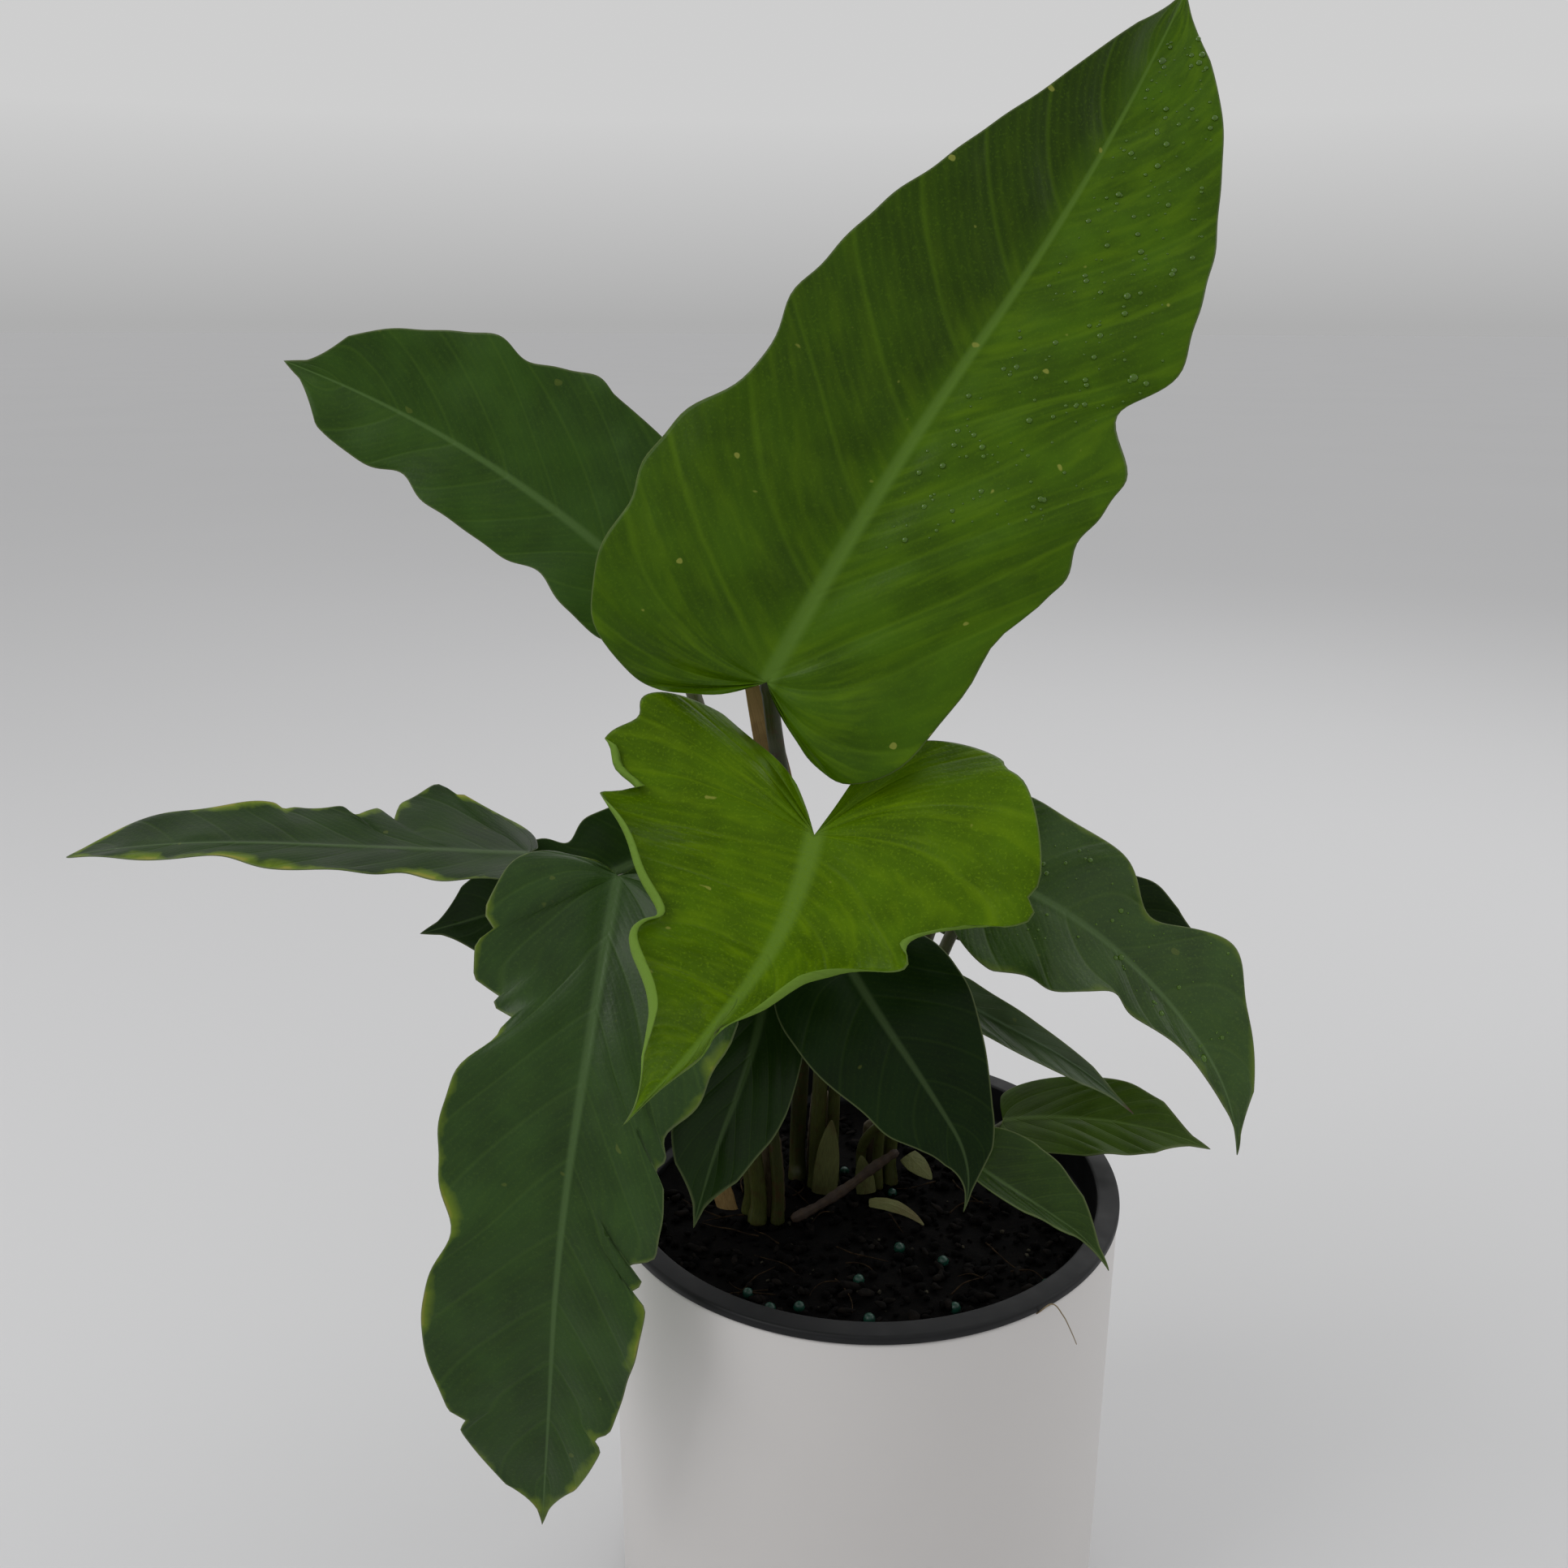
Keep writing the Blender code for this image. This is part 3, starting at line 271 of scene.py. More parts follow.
# Skins of living leaves. slot: the record's. mottle: strength of the lime mottling. worn: mm of
# yellowed margin. grain: mm of the finest relief. shine: how much the wax reflects. rough: its
# roughness. tip: 1 where the tip has dried brown. dim: how much painted shade darkens the left half.
SKIN = {"worn": 0, "grain": 0.05, "tip": 0, "painted_dim": 0}
SKINS = {
    "tall": {"slot": "leaf_mid", "mottle": 0.75, "shine": 0.16, "rough": 0.33, "painted_dim": 0.8},
    "young": {"slot": "leaf_lime", "mottle": 0.75, "grain": 0.12, "shine": 0.1, "rough": 0.36},
    "back": {"slot": "leaf_back", "mottle": 0.2, "shine": 0.2, "rough": 0.42},
    "edged": {"slot": "leaf_edged", "mottle": 0.15, "worn": 3.0, "grain": 0.06, "shine": 0.3, "rough": 0.36},
    "side": {"slot": "leaf_edged", "mottle": 0.25, "worn": 3.6, "grain": 0.06, "shine": 0.18, "rough": 0.4},
    "dark": {"slot": "leaf_dark", "mottle": 0.15, "grain": 0.04, "shine": 0.2, "rough": 0.4},
    "deep": {"slot": "leaf_dark", "mottle": 0.15, "grain": 0.04, "shine": 0.12, "rough": 0.4},
    "right": {"slot": "leaf_right", "mottle": 0.25, "worn": 1.6, "grain": 0.1, "shine": 0.4, "rough": 0.34},
    "plain": {"slot": "leaf_right", "mottle": 0.2, "shine": 0.12, "rough": 0.42},
    "folded": {"slot": "leaf_light", "mottle": 0.3, "worn": 0.3, "shine": 0.25, "rough": 0.4},
    "narrow": {"slot": "leaf_narrow", "mottle": 0.1, "worn": 0.3, "shine": 0.45, "rough": 0.32, "tip": 1},
    "light": {"slot": "leaf_light", "mottle": 0.3, "worn": 0.3, "shine": 0.3, "rough": 0.4},
}
COLOURS = {"out": 2, "data_type": "RGBA"}     # for a mix of two colours, not of two numbers


def linear(text):
    """An sRGB hex colour as linear red, green and blue."""
    parts = [int(text[i:i + 2], 16) / 255 for i in (1, 3, 5)]
    return tuple(p / 12.92 if p <= 0.04045 else ((p + 0.055) / 1.055) ** 2.4 for p in parts)


def colour_property(title, words, text):
    """A colour that the user can change, its default given as sRGB hex."""
    return bpy.props.FloatVectorProperty(
        name=title, description=words, subtype="COLOR", size=3, min=0, max=1, default=linear(text)
    )


class PHILO_PG_foliage(bpy.types.PropertyGroup):
    """Sizes and colours of the leaves and stems."""

    rows: bpy.props.IntProperty(name="Rows", description="Rows of faces along a blade", default=132, min=20)
    columns: bpy.props.IntProperty(name="Columns", description="Columns in half a blade", default=28, min=4)
    thickness: bpy.props.FloatProperty(
        name="Thickness", description="Thickness of a blade", default=0.0005, unit="LENGTH"
    )
    beads: bpy.props.IntProperty(name="Water beads", description="Beads on the wet leaves", default=260)
    tall: colour_property("Tall leaf", "Green of the tallest leaf", "#3b5a00")
    young: colour_property("New leaf", "Lime green of the newest leaf", "#466400")
    back: colour_property("Back leaf", "Soft green of the leaf at the back", "#2d4a0f")
    edged: colour_property("Edged leaves", "Dark green of the leaves with worn edges", "#284214")
    side: colour_property("Side leaf", "Dark green of the leaf that points left", "#1f3410")
    dark: colour_property("Dark leaves", "Green of the small dark leaves", "#172e06")
    deep: colour_property("Centre leaf", "Deep green of the leaf in the middle", "#0f2206")
    plain: colour_property("Shaded leaf", "Green of the leaf behind the right one", "#152608")
    folded: colour_property("Folded leaf", "Green of the folded leaf on the rim", "#263d0b")
    right: colour_property("Right leaves", "Green of the blistered leaves", "#304919")
    narrow: colour_property("Narrow leaf", "Green of the narrow leaf", "#3c4f30")
    light: colour_property("Low leaves", "Lighter green of the lowest leaves", "#344c06")
    stalk: colour_property("Petioles", "Olive green of the petioles", "#42471f")
    cork: colour_property("Crowns", "Brown of crowns and the old stem", "#43391f")


class PHILO_PG_pots(bpy.types.PropertyGroup):
    """Sizes and colours of both pots."""

    steps: bpy.props.IntProperty(name="Steps", description="Faces round a pot", default=192, min=24)
    wall: bpy.props.FloatProperty(name="Wall", description="Cover pot's wall", default=0.003, unit="LENGTH")
    rim_round: bpy.props.FloatProperty(
        name="Rounding", description="Radius of the cover pot's edges", default=0.0012, unit="LENGTH"
    )
    white: colour_property("Cover pot", "Off-white of the cover pot", "#d3d0ce")
    black: colour_property("Grower pot", "Black of the grower pot", "#0a0b0d")


class PHILO_PG_mix(bpy.types.PropertyGroup):
    """Sizes and colours of the potting mix and what lies in it."""

    seed: bpy.props.IntProperty(name="Seed", description="Where the loose pieces fall", default=7)
    relief: bpy.props.FloatProperty(
        name="Relief", description="How uneven the surface is", default=0.0016, unit="LENGTH"
    )
    prill: bpy.props.FloatProperty(
        name="Prill", description="Diameter of a fertiliser prill", default=0.0033, unit="LENGTH"
    )
    peat: colour_property("Mix", "Near black of the moist mix", "#040303")
    bark: colour_property("Bark", "Brown of the bark chips", "#0b0806")
    teal: colour_property("Prills", "Green of the coated prills", "#0b3d2f")


class PHILO_PG_stage(bpy.types.PropertyGroup):
    """The stage's light and floor."""

    lens: bpy.props.FloatProperty(name="Lens", description="Focal length in mm", default=33.54)
    floor: colour_property("Floor", "Pale grey of the floor", "#d4d4d5")
    sky: colour_property("Surroundings", "Pale grey all round", "#d3d3d3")


def unit(vectors):
    """Vectors scaled to length 1."""
    vectors = np.asarray(vectors, float)
    return vectors / np.maximum(np.linalg.norm(vectors, axis=-1, keepdims=True), 1e-12)


def through(points, share):
    """The Catmull-Rom curve through the points, read at shares 0 to 1 of the way along."""
    points = np.asarray(points, float)
    spans = len(points) - 1
    place = np.clip(np.asarray(share, float), 0, 1) * spans
    first = np.minimum(place.astype(int), spans - 1)
    u = (place - first)[..., None]
    ends = np.vstack([2 * points[0] - points[1], points, 2 * points[-1] - points[-2]])
    a, b, c, d = ends[first], ends[first + 1], ends[first + 2], ends[first + 3]
    bend = 2 * a - 5 * b + 4 * c - d
    twist = 3 * b - a - 3 * c + d
    return 0.5 * (2 * b + (c - a) * u + bend * u**2 + twist * u**3)


class Blade:
    """A leaf's surface: a curved midrib with two halves that fold up from it and bend on outwards."""

    def __init__(self, shape):
        self.shape = shape
        self.length = shape["length"]
        self.run = np.linspace(0, self.length, MIDRIB_STEPS + 1)
        self.along = unit(self.spread(shape["heading"]))
        steps = (self.along[1:] + self.along[:-1]) / 2 * self.run[1]
        self.points = np.vstack([np.zeros(3), np.cumsum(steps, axis=0)]) + shape["joint"]
        face = self.spread(shape["face"])
        face = face - (face * self.along).sum(1, keepdims=True) * self.along
        self.up = unit(face)
        self.out = np.cross(self.along, self.up)

    def spread(self, vectors):
        """Unit vectors given evenly from base to tip, read at every step of the midrib."""
        vectors = unit(vectors)
        stations = np.linspace(0, self.length, len(vectors))
        return np.stack([np.interp(self.run, stations, vectors[:, axis]) for axis in range(3)], -1)

    def read(self, table, s):
        """One of the midrib's tables of vectors, read at distances s."""
        return np.stack([np.interp(s, self.run, table[:, axis]) for axis in range(3)], -1)

    def ramp(self, pair, s):
        """A value that goes evenly from pair[0] at the base to pair[1] at the tip."""
        return pair[0] + (pair[1] - pair[0]) * np.clip(s / self.length, 0, 1)

    def margin(self, side, share):
        """One margin as (along, out): a lobe of two quarter turns, then a half that narrows.

        The half narrows as wide * (1 - x ** full) ** taper. Dents and nicks are bell curves taken
        off it, and a small wave of the outline's share makes it scalloped. hook is how much narrower
        the tip is, once it has set in.
        """
        back, wide, at, full, taper, dents = self.shape[side]
        foot, fan = self.shape["foot"], self.shape["fan"]
        rear = max(BACK_SHARE * wide, foot)
        turn = np.pi * np.clip(share / fan, 0, 1)
        inner = np.minimum(turn, np.pi / 2)
        outer = np.maximum(turn, np.pi / 2) - np.pi / 2
        x = np.clip((share - fan) / (1 - fan), 0, 1)
        s = np.where(turn < np.pi / 2, -back * np.sin(inner), at - (at + back) * np.cos(outer))
        s = np.where(x > 0, at + (self.length - at) * x, s)
        behind = foot + (rear - foot) * (np.sin(inner) + 1 - np.cos(inner)) / 2
        beside = rear + (wide - rear) * np.sin(outer)
        ahead = (wide - DRIP) * (1 - x**full) ** taper + DRIP * np.sqrt(1 - x)
        t = np.where(x > 0, ahead, np.where(turn < np.pi / 2, behind, beside))
        nicks = self.shape["nicks"][0 if side == "left" else 1]
        for place, depth, reach in [*dents, *nicks]:
            t = t - depth * np.exp(-(((s - place) / reach) ** 2)) * (turn > np.pi / 2)
        wave = np.sin(self.length * share * 0.22 + wide) + 0.5 * np.sin(self.length * share * 0.47)
        t = t + self.shape["scallop"] * t * wave * (1 - share)
        narrow = self.shape["hook"] * np.clip((s - self.length + HOOK_STARTS) / HOOK_SPAN, 0, 1)
        return np.stack([s, np.maximum(t * (1 - narrow), 0)], -1)

    def surface(self, share, side):
        """Points, normals and measures in mm for shares of the outline and -1 to 1 across.

        A row follows a side vein. Each half leaves the midrib at the fold's angle and bends evenly
        on, so its section is an arc; a rolled margin is a tighter arc over the last few mm. The
        margin ruffles as a sine, and the tissue between two veins stands up as half a sine.
        """
        left = self.margin("left", share) * (1, -1)
        right = self.margin("right", share)
        margin = np.where((side < 0)[..., None], left, right)
        fan = self.shape["fan"]
        root = self.length * np.clip((share - fan) / (1 - fan), 0, 1)
        reach = np.abs(side)
        s = root + (margin[..., 0] - root) * reach
        t = margin[..., 1] * reach
        inside = np.clip(s, 0, self.length)
        along, up = unit(self.read(self.along, inside)), unit(self.read(self.up, inside))
        out = unit(self.read(self.out, inside))
        behind = np.minimum(s, 0)[..., None]
        centre = self.read(self.points, inside) + (s - inside)[..., None] * along
        centre = centre + self.shape["lobe"] * (behind / LOBE_SPAN) ** 2 * up
        curl_left, curl_right = self.shape["curl"]
        bend = np.radians(np.where(t < 0, self.ramp(curl_left, s), self.ramp(curl_right, s)))
        bend = bend / self.shape["width"]
        bend = np.where(np.abs(bend) < 1e-6, 1e-6, bend)
        fold = np.radians(self.ramp(self.shape["fold"], s))
        strip = np.minimum(ROLL_STRIP, 0.3 * np.abs(margin[..., 1]))
        rolled = np.maximum(np.abs(t) - np.abs(margin[..., 1]) + strip, 0)
        flat = np.abs(t) - rolled
        angle = fold + bend * flat
        sideways = (np.sin(angle) - np.sin(fold)) / bend
        height = (np.cos(fold) - np.cos(angle)) / bend
        tight = self.rolling(share, side) / np.maximum(strip, 0.5) + bend
        turned = angle + tight * rolled
        sideways = (sideways + (np.sin(turned) - np.sin(angle)) / tight) * np.sign(t)
        height = height + (np.cos(angle) - np.cos(turned)) / tight
        size, waves, phase_left, phase_right = self.shape["ruffle"]
        wave = np.sin(2 * np.pi * waves * share + np.where(t < 0, phase_left, phase_right))
        ends = np.clip(np.minimum(20 * share, 8 - 8 * share), 0, np.clip(1.15 - share, 0, 1))
        height = height + size * reach**2 * wave * ends
        vein = self.shape["veins"] * share - 0.9 * reach**1.4
        calm = np.clip(reach * 5, 0, 1) * np.clip((1 - reach) * 6, 0, 1)
        calm = calm * np.clip(np.abs(margin[..., 1]) / 8, 0, 1)
        height = height + self.shape["quilt"] * (np.abs(np.sin(np.pi * vein)) - 0.6) * calm
        height = height + 0.35 * np.sin(s / 5.3 + t / 7.1) * np.sin(t / 6.2 - s / 11.0) * calm
        points = centre + sideways[..., None] * out + height[..., None] * up
        lean = (np.sin(turned) * np.sign(t))[..., None]
        normals = unit(np.cos(turned)[..., None] * up - lean * out)
        clear = np.clip(np.abs(t) / 1.5, 0, 1)[..., None]
        normals = clear * normals + (1 - clear) * up / np.cos(fold)[..., None]
        measures = {
            "reach": reach,
            "vein": vein,
            "rib": np.abs(t) / (self.shape["rib"] * np.clip(1.08 - inside / self.length, 0.1, 1)),
            "edge": np.abs(margin[..., 1]) - np.abs(t),
            "tip": np.clip(s / self.length, 0, 1),
            # painted shade: the left half darker towards the tip, partly the leaf's own darker green
            "dusk": np.clip(-t / 8, 0, 1) * np.clip(0.15 + 1.1 * s / self.length, 0, 1),
        }
        return points, normals, measures

    def rolling(self, share, side):
        """How far, in radians, the margin is rolled up: a sum of bells along either outline."""
        amount = np.zeros(np.shape(share))
        for sign, rolls in zip((-1, 1), self.shape["roll"]):
            for middle, span, turn in rolls:
                bell = np.exp(-(((share - middle) / span) ** 4))
                amount = amount + math.radians(turn) * bell * (side * sign > 0)
        return amount


def piece(name, points, quads, coat, nodes=(), measures=None, wrap=None, outward=True):
    """Puts arrays of points (mm on the mix) and quads into a mesh that stands for CAD nodes.

    Doubled points are merged, which closes seams and poles, and outward turns the faces outwards.
    measures become float attributes, and wrap, two numbers for each point, becomes the UV map.
    """
    mesh = bpy.data.meshes.new(name)
    mesh.vertices.add(len(points))
    mesh.vertices.foreach_set("co", ((points + LIFT) * MM).astype(np.float32).ravel())
    mesh.loops.add(quads.size)
    mesh.loops.foreach_set("vertex_index", quads.astype(np.int32).ravel())
    mesh.polygons.add(len(quads))
    mesh.polygons.foreach_set("loop_start", np.arange(0, quads.size, 4, dtype=np.int32))
    mesh.update(calc_edges=True)
    for key, values in (measures or {}).items():
        kept = mesh.attributes.new(key, "FLOAT", "POINT")
        kept.data.foreach_set("value", values.astype(np.float32).ravel())
    if wrap is not None:
        uv = mesh.uv_layers.new(name="wrap")
        uv.data.foreach_set("uv", wrap[quads.ravel()].astype(np.float32).ravel())
    shape = bmesh.new()
    shape.from_mesh(mesh)
    bmesh.ops.remove_doubles(shape, verts=shape.verts, dist=2e-6)
    bmesh.ops.dissolve_degenerate(shape, edges=shape.edges, dist=1e-7)
    if outward:
        bmesh.ops.recalc_face_normals(shape, faces=shape.faces)
    shape.to_mesh(mesh)
    shape.free()
    mesh.validate()
    mesh.shade_smooth()
    mesh.materials.append(coat)
    thing = bpy.data.objects.new(name, mesh)
    bpy.context.scene.collection.objects.link(thing)
    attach(thing, "root")
    if nodes:
        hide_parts(*nodes)
    return thing


def sheet_quads(rows, columns):
    """Quads of a closed sheet: an upper grid, a lower grid turned over, and the strip between."""
    grid = np.arange(rows * columns).reshape(rows, columns)
    upper = np.stack([grid[:-1, :-1], grid[:-1, 1:], grid[1:, 1:], grid[1:, :-1]], -1).reshape(-1, 4)
    lower = upper[:, ::-1] + grid.size
    loop = np.concatenate([grid[0, :-1], grid[:-1, -1], grid[-1, :0:-1], grid[:0:-1, 0]])
    after = np.roll(loop, -1)
    strip = np.stack([after, loop, loop + grid.size, after + grid.size], -1)
    return np.vstack([upper, lower, strip])


def ring_quads(rows, around):
    """Quads of a surface that closes on itself sideways, its rows running down its outer side."""
    grid = np.arange(rows * around).reshape(rows, around)
    beside = np.roll(grid, -1, axis=1)
    return np.stack([grid[:-1], grid[1:], beside[1:], beside[:-1]], -1).reshape(-1, 4)


def across(count):
    """-1 to 1 with count steps in each half, closer at the midrib and at the margins."""
    half = np.linspace(0, 1, count + 1)
    half = 0.45 * half + 0.55 * (1 - np.cos(np.pi * half)) / 2
    return np.concatenate([-half[:0:-1], half])


def thin_sheet(name, part, shape, slot, coat, rows, columns, thick):
    """A part's blade with thickness: the surface moved along its normals, its rib swelling out.

    The midrib stands up as a bell curve of the distance from the midrib, lower on the upper side
    and about three times higher beneath. The thickness eases off to the margin.
    """
    blade = Blade(shape)
    share, side = np.meshgrid(np.linspace(shape["first"], 1, rows), across(columns), indexing="ij")
    points, normals, measures = blade.surface(share, side)
    bell = np.exp(-(measures["rib"] ** 2)) * shape["rib"] * np.clip(1.05 - measures["tip"], 0.05, 1)
    half = thick / MM / 2 * (0.55 + 0.45 * np.clip(measures["edge"] / 1.5, 0, 1))
    top = points + (half + 0.25 * bell)[..., None] * normals
    low = points - (half + 0.7 * bell)[..., None] * normals
    both = np.vstack([top.reshape(-1, 3), low.reshape(-1, 3)])
    doubled = {key: np.tile(values.ravel(), 2) for key, values in measures.items()}
    doubled["under"] = np.repeat([0.0, 1.0], share.size)
    wrap = np.stack([doubled["vein"], doubled["reach"]], -1)
    quads = sheet_quads(*share.shape)
    return piece(name, both, quads, coat, [part], doubled, wrap, False)


def tube(name, points, radii, around, coat, nodes=(), ridges=0.0):
    """A tube through points: a circle carried along them, its ends drawn in to points.

    The circle's two directions come from the tangent and one fixed direction that lies across the
    path, so it doesn't twist. ridges adds low lengthwise ribs as a share of the radius.
    """
    points = np.asarray(points, float)
    tangent = unit(np.gradient(points, axis=0))
    chord = points[-1] - points[0]
    fixed = np.cross(chord, (0.13, 0.21, 1.0))
    first = unit(np.cross(tangent, unit(fixed)))
    second = np.cross(tangent, first)
    angle = np.linspace(0, 2 * np.pi, around, endpoint=False)
    swell = 1 + ridges * np.sin(5 * angle)[None] + 0.5 * ridges * np.sin(9 * angle + 1)[None]
    radius = np.asarray(radii, float)[:, None] * swell
    ring = np.cos(angle)[None, :, None] * first[:, None] + np.sin(angle)[None, :, None] * second[:, None]
    body = points[:, None] + radius[..., None] * ring
    foot, head = np.repeat(points[:1, None], around, 1), np.repeat(points[-1:, None], around, 1)
    full = np.concatenate([head, body[::-1], foot])
    run = np.concatenate([[0], np.cumsum(np.linalg.norm(np.diff(points, axis=0), axis=1))])
    run = np.concatenate([[run[-1]], run[::-1], [0]])
    wrap = np.stack(np.broadcast_arrays(run[:, None], angle[None]), -1).reshape(-1, 2)
    return piece(name, full.reshape(-1, 3), ring_quads(len(full), around), coat, nodes, None, wrap)


def turned(name, profile, steps, slot, coat, nodes):
    """A turned piece: a profile of (radius, height) in metres carried round Z in equal steps."""
    profile = np.asarray(profile, float) / MM
    angle = np.linspace(0, 2 * np.pi, steps, endpoint=False)
    x, y = profile[:, :1] * np.cos(angle), profile[:, :1] * np.sin(angle)
    z = np.broadcast_to(profile[:, 1:], x.shape)
    points = np.stack([x, y, z], -1).reshape(-1, 3) - LIFT
    return piece(name, points, ring_quads(len(profile), steps), coat, nodes)


def rounded(corners, steps=7):
    """A profile with round corners: each (radius, height, rounding) becomes a quadratic arc.

    The arc leaves the incoming side and meets the outgoing one at the rounding's distance from the
    corner, and is b(u) = (1-u)^2 start + 2u(1-u) corner + u^2 end.
    """
    places = np.array([corner[:2] for corner in corners], float)
    made = [places[:1]]
    u = np.linspace(0, 1, steps)[:, None]
    softs = [corner[2] for corner in corners[1:]]
    for before, corner, after, soft in zip(places, places[1:], places[2:], softs):
        start = corner + unit(before - corner) * soft
        end = corner + unit(after - corner) * soft
        made.append((1 - u) ** 2 * start + 2 * u * (1 - u) * corner + u**2 * end)
    made.append(places[-1:])
    return np.vstack(made)


def feed(made, links):
    """Gives each input that links names a value or a link."""
    for key, value in links.items():
        if isinstance(value, bpy.types.NodeSocket):
            made.id_data.links.new(value, made.inputs[key])
        else:
            made.inputs[key].default_value = value


def node(tree, kind, links=None, out=0, **settings):
    """Adds a node, sets what settings name, feeds its inputs and gives back one of its outputs."""
    made = tree.nodes.new("ShaderNode" + kind)
    for key, value in settings.items():
        setattr(made, key, value)
    feed(made, links or {})
    return made.outputs[out]


def finish(name, roughness, ior=1.45, **constants):
    """A material with its Principled shader's constant values set on its own sockets."""
    made = bpy.data.materials.new(name)
    made.use_nodes = True
    shader = made.node_tree.nodes["Principled BSDF"]
    feed(shader, {"Roughness": roughness, "IOR": ior})
    feed(shader, {key.replace("_", " "): value for key, value in constants.items()})
    return made, made.node_tree, shader


def shade(colour, factor):
    """A linear colour made lighter or darker by a factor, with its fourth value."""
    return (*[min(1.0, part * factor) for part in colour], 1)


def tinted(colour, gain, lift):
    """A linear colour with each part multiplied and raised on its own, with its fourth value."""
    return (*[part * more + extra for part, more, extra in zip(colour, gain, lift)], 1)


def leaf_skin(name, body, looks):
    """Living leaf: waxy skin over green tissue, grown smooth, paler along the veins.

    The wax gives a broad soft gloss; veins are pale lines about 0.6 mm wide, finer ones lie between.
    """
    made, tree, shader = finish(name, looks["rough"], 1.42, Specular_IOR_Level=looks["shine"])
    read = {key: node(tree, "Attribute", out="Fac", attribute_name=key)
            for key in ("vein", "rib", "edge", "under", "tip", "dusk")}
    place = node(tree, "TexCoord", out="Object")
    wrap = node(tree, "UVMap", uv_map="wrap")
    stretched = node(tree, "Mapping", {"Vector": wrap, "Scale": (2.2, 1.6, 1)})
    streak = node(tree, "TexNoise", {"Vector": stretched, "Scale": 2.0, "Detail": 5.0})
    blotch = node(tree, "TexNoise", {"Vector": place, "Scale": 70.0, "Detail": 4.0})
    grain = node(tree, "TexNoise", {"Vector": place, "Scale": 1500.0, "Detail": 2.0})
    speck = node(tree, "TexNoise", {"Vector": place, "Scale": 210.0, "Detail": 1.0})
    cells = node(tree, "TexVoronoi", {"Vector": place, "Scale": 900.0})

    near = node(tree, "Math", {0: read["vein"], 1: 0.5}, operation="PINGPONG")
    closer = node(tree, "Math", {0: read["vein"], 1: 6.0}, operation="MULTIPLY")
    fine = node(tree, "Math", {0: closer, 1: 0.5}, operation="PINGPONG")
    fade, soft = {"To Min": 1.0, "To Max": 0.0}, {"interpolation_type": "SMOOTHSTEP"}
    side_vein = node(tree, "MapRange", {"Value": near, "From Max": 0.07, **fade}, **soft)
    fine_vein = node(tree, "MapRange", {"Value": fine, "From Max": 0.3, **fade})
    span = {"From Min": 0.3, "From Max": 1.3}
    midrib = node(tree, "MapRange", {"Value": read["rib"], **span, **fade}, **soft)
    # the last strength is for the painted shade on the left half
    strengths = ((fine_vein, 0.1), (side_vein, 0.24), (midrib, 0.85), (read["dusk"], looks["painted_dim"]))
    faint, shown, spine, painted_dim = [
        node(tree, "Math", {0: line, 1: strength}, operation="MULTIPLY") for line, strength in strengths
    ]
    few = 0.7 if looks["mottle"] > 0.3 else 0.15
    rim = {"From Min": 0.12, "From Max": 0.45, "To Min": 0.65, "To Max": 0.0}
    rim = node(tree, "MapRange", {"Value": read["edge"], **rim})
    hue, patch, glint, speck = [
        node(tree, "MapRange", {"Value": value, "From Min": low, "From Max": high, "To Max": most})
        for value, low, high, most in (
            (blotch, 0.35, 0.65, 1), (streak, 0.48, 0.72, looks["mottle"]),
            (grain, 0.56, 0.7, looks["grain"] * 5), (speck, 0.765, 0.79, few),
        )
    ]
    lime = tinted(body, (1.7, 1.5, 0.9), (0.008, 0.01, 0))
    pale = tinted(body, (1.7, 1.5, 1.5), (0.012, 0.018, 0.003))
    rib_green = tinted(body, (1.3, 1.25, 1.8), (0.035, 0.05, 0.02))
    below = tinted(body, (1.4, 1.3, 1.5), (0.05, 0.07, 0.03))
    # the second layer is painted shade, darkening the left half towards the tip
    layers = [(patch, lime), (painted_dim, shade(body, 0.3)), (faint, lime), (shown, pale), (spine, rib_green),
              (glint, pale), (speck, (*linear("#8f9440"), 1))]
    if looks["worn"] > 0:
        span = {"From Min": 0.42, "From Max": 0.62, "To Max": looks["worn"]}
        depth = node(tree, "MapRange", {"Value": blotch, **span})
        gap = node(tree, "Math", {0: depth, 1: read["edge"]}, operation="SUBTRACT")
        worn = node(tree, "MapRange", {"Value": gap, "From Min": -0.4, "From Max": 1.8})
        torn = node(tree, "MapRange", {"Value": gap, "From Min": 1.9, "From Max": 3.0})
        layers += [(worn, (*linear("#5b7016"), 1)), (torn, (*linear("#86852f"), 1))]
    layers.append((rim, (*linear("#616c45"), 1)))
    if looks["tip"] > 0:
        dried = node(tree, "MapRange", {"Value": read["tip"], "From Min": 0.93, "From Max": 0.98})
        layers.append((dried, (*linear("#4a3320"), 1)))
    lower = node(tree, "Mix", {0: midrib, 6: below, 7: rib_green}, **COLOURS)
    colour = node(tree, "Mix", {0: hue, 6: shade(body, 0.78), 7: shade(body, 1.15)}, **COLOURS)
    for share, over in [*layers, (read["under"], lower)]:
        colour = node(tree, "Mix", {0: share, 6: colour, 7: over}, **COLOURS)

    low, high = looks["rough"] - 0.06, looks["rough"] + 0.1
    span = {"From Min": 0.3, "From Max": 0.7, "To Min": low, "To Max": high}
    dull = node(tree, "MapRange", {"Value": blotch, **span})
    dull = node(tree, "Math", {0: read["under"], 1: 0.15, 2: dull}, operation="MULTIPLY_ADD")
    relief = grain
    for height, strength in ((fine_vein, -0.5), (cells, 0.7), (side_vein, -1.6)):
        relief = node(tree, "Math", {0: height, 1: strength, 2: relief}, operation="MULTIPLY_ADD")
    bump = node(tree, "Bump", {"Strength": 0.6, "Distance": looks["grain"] * MM, "Height": relief})
    feed(shader, {"Base Color": colour, "Roughness": dull, "Normal": bump})
    return made


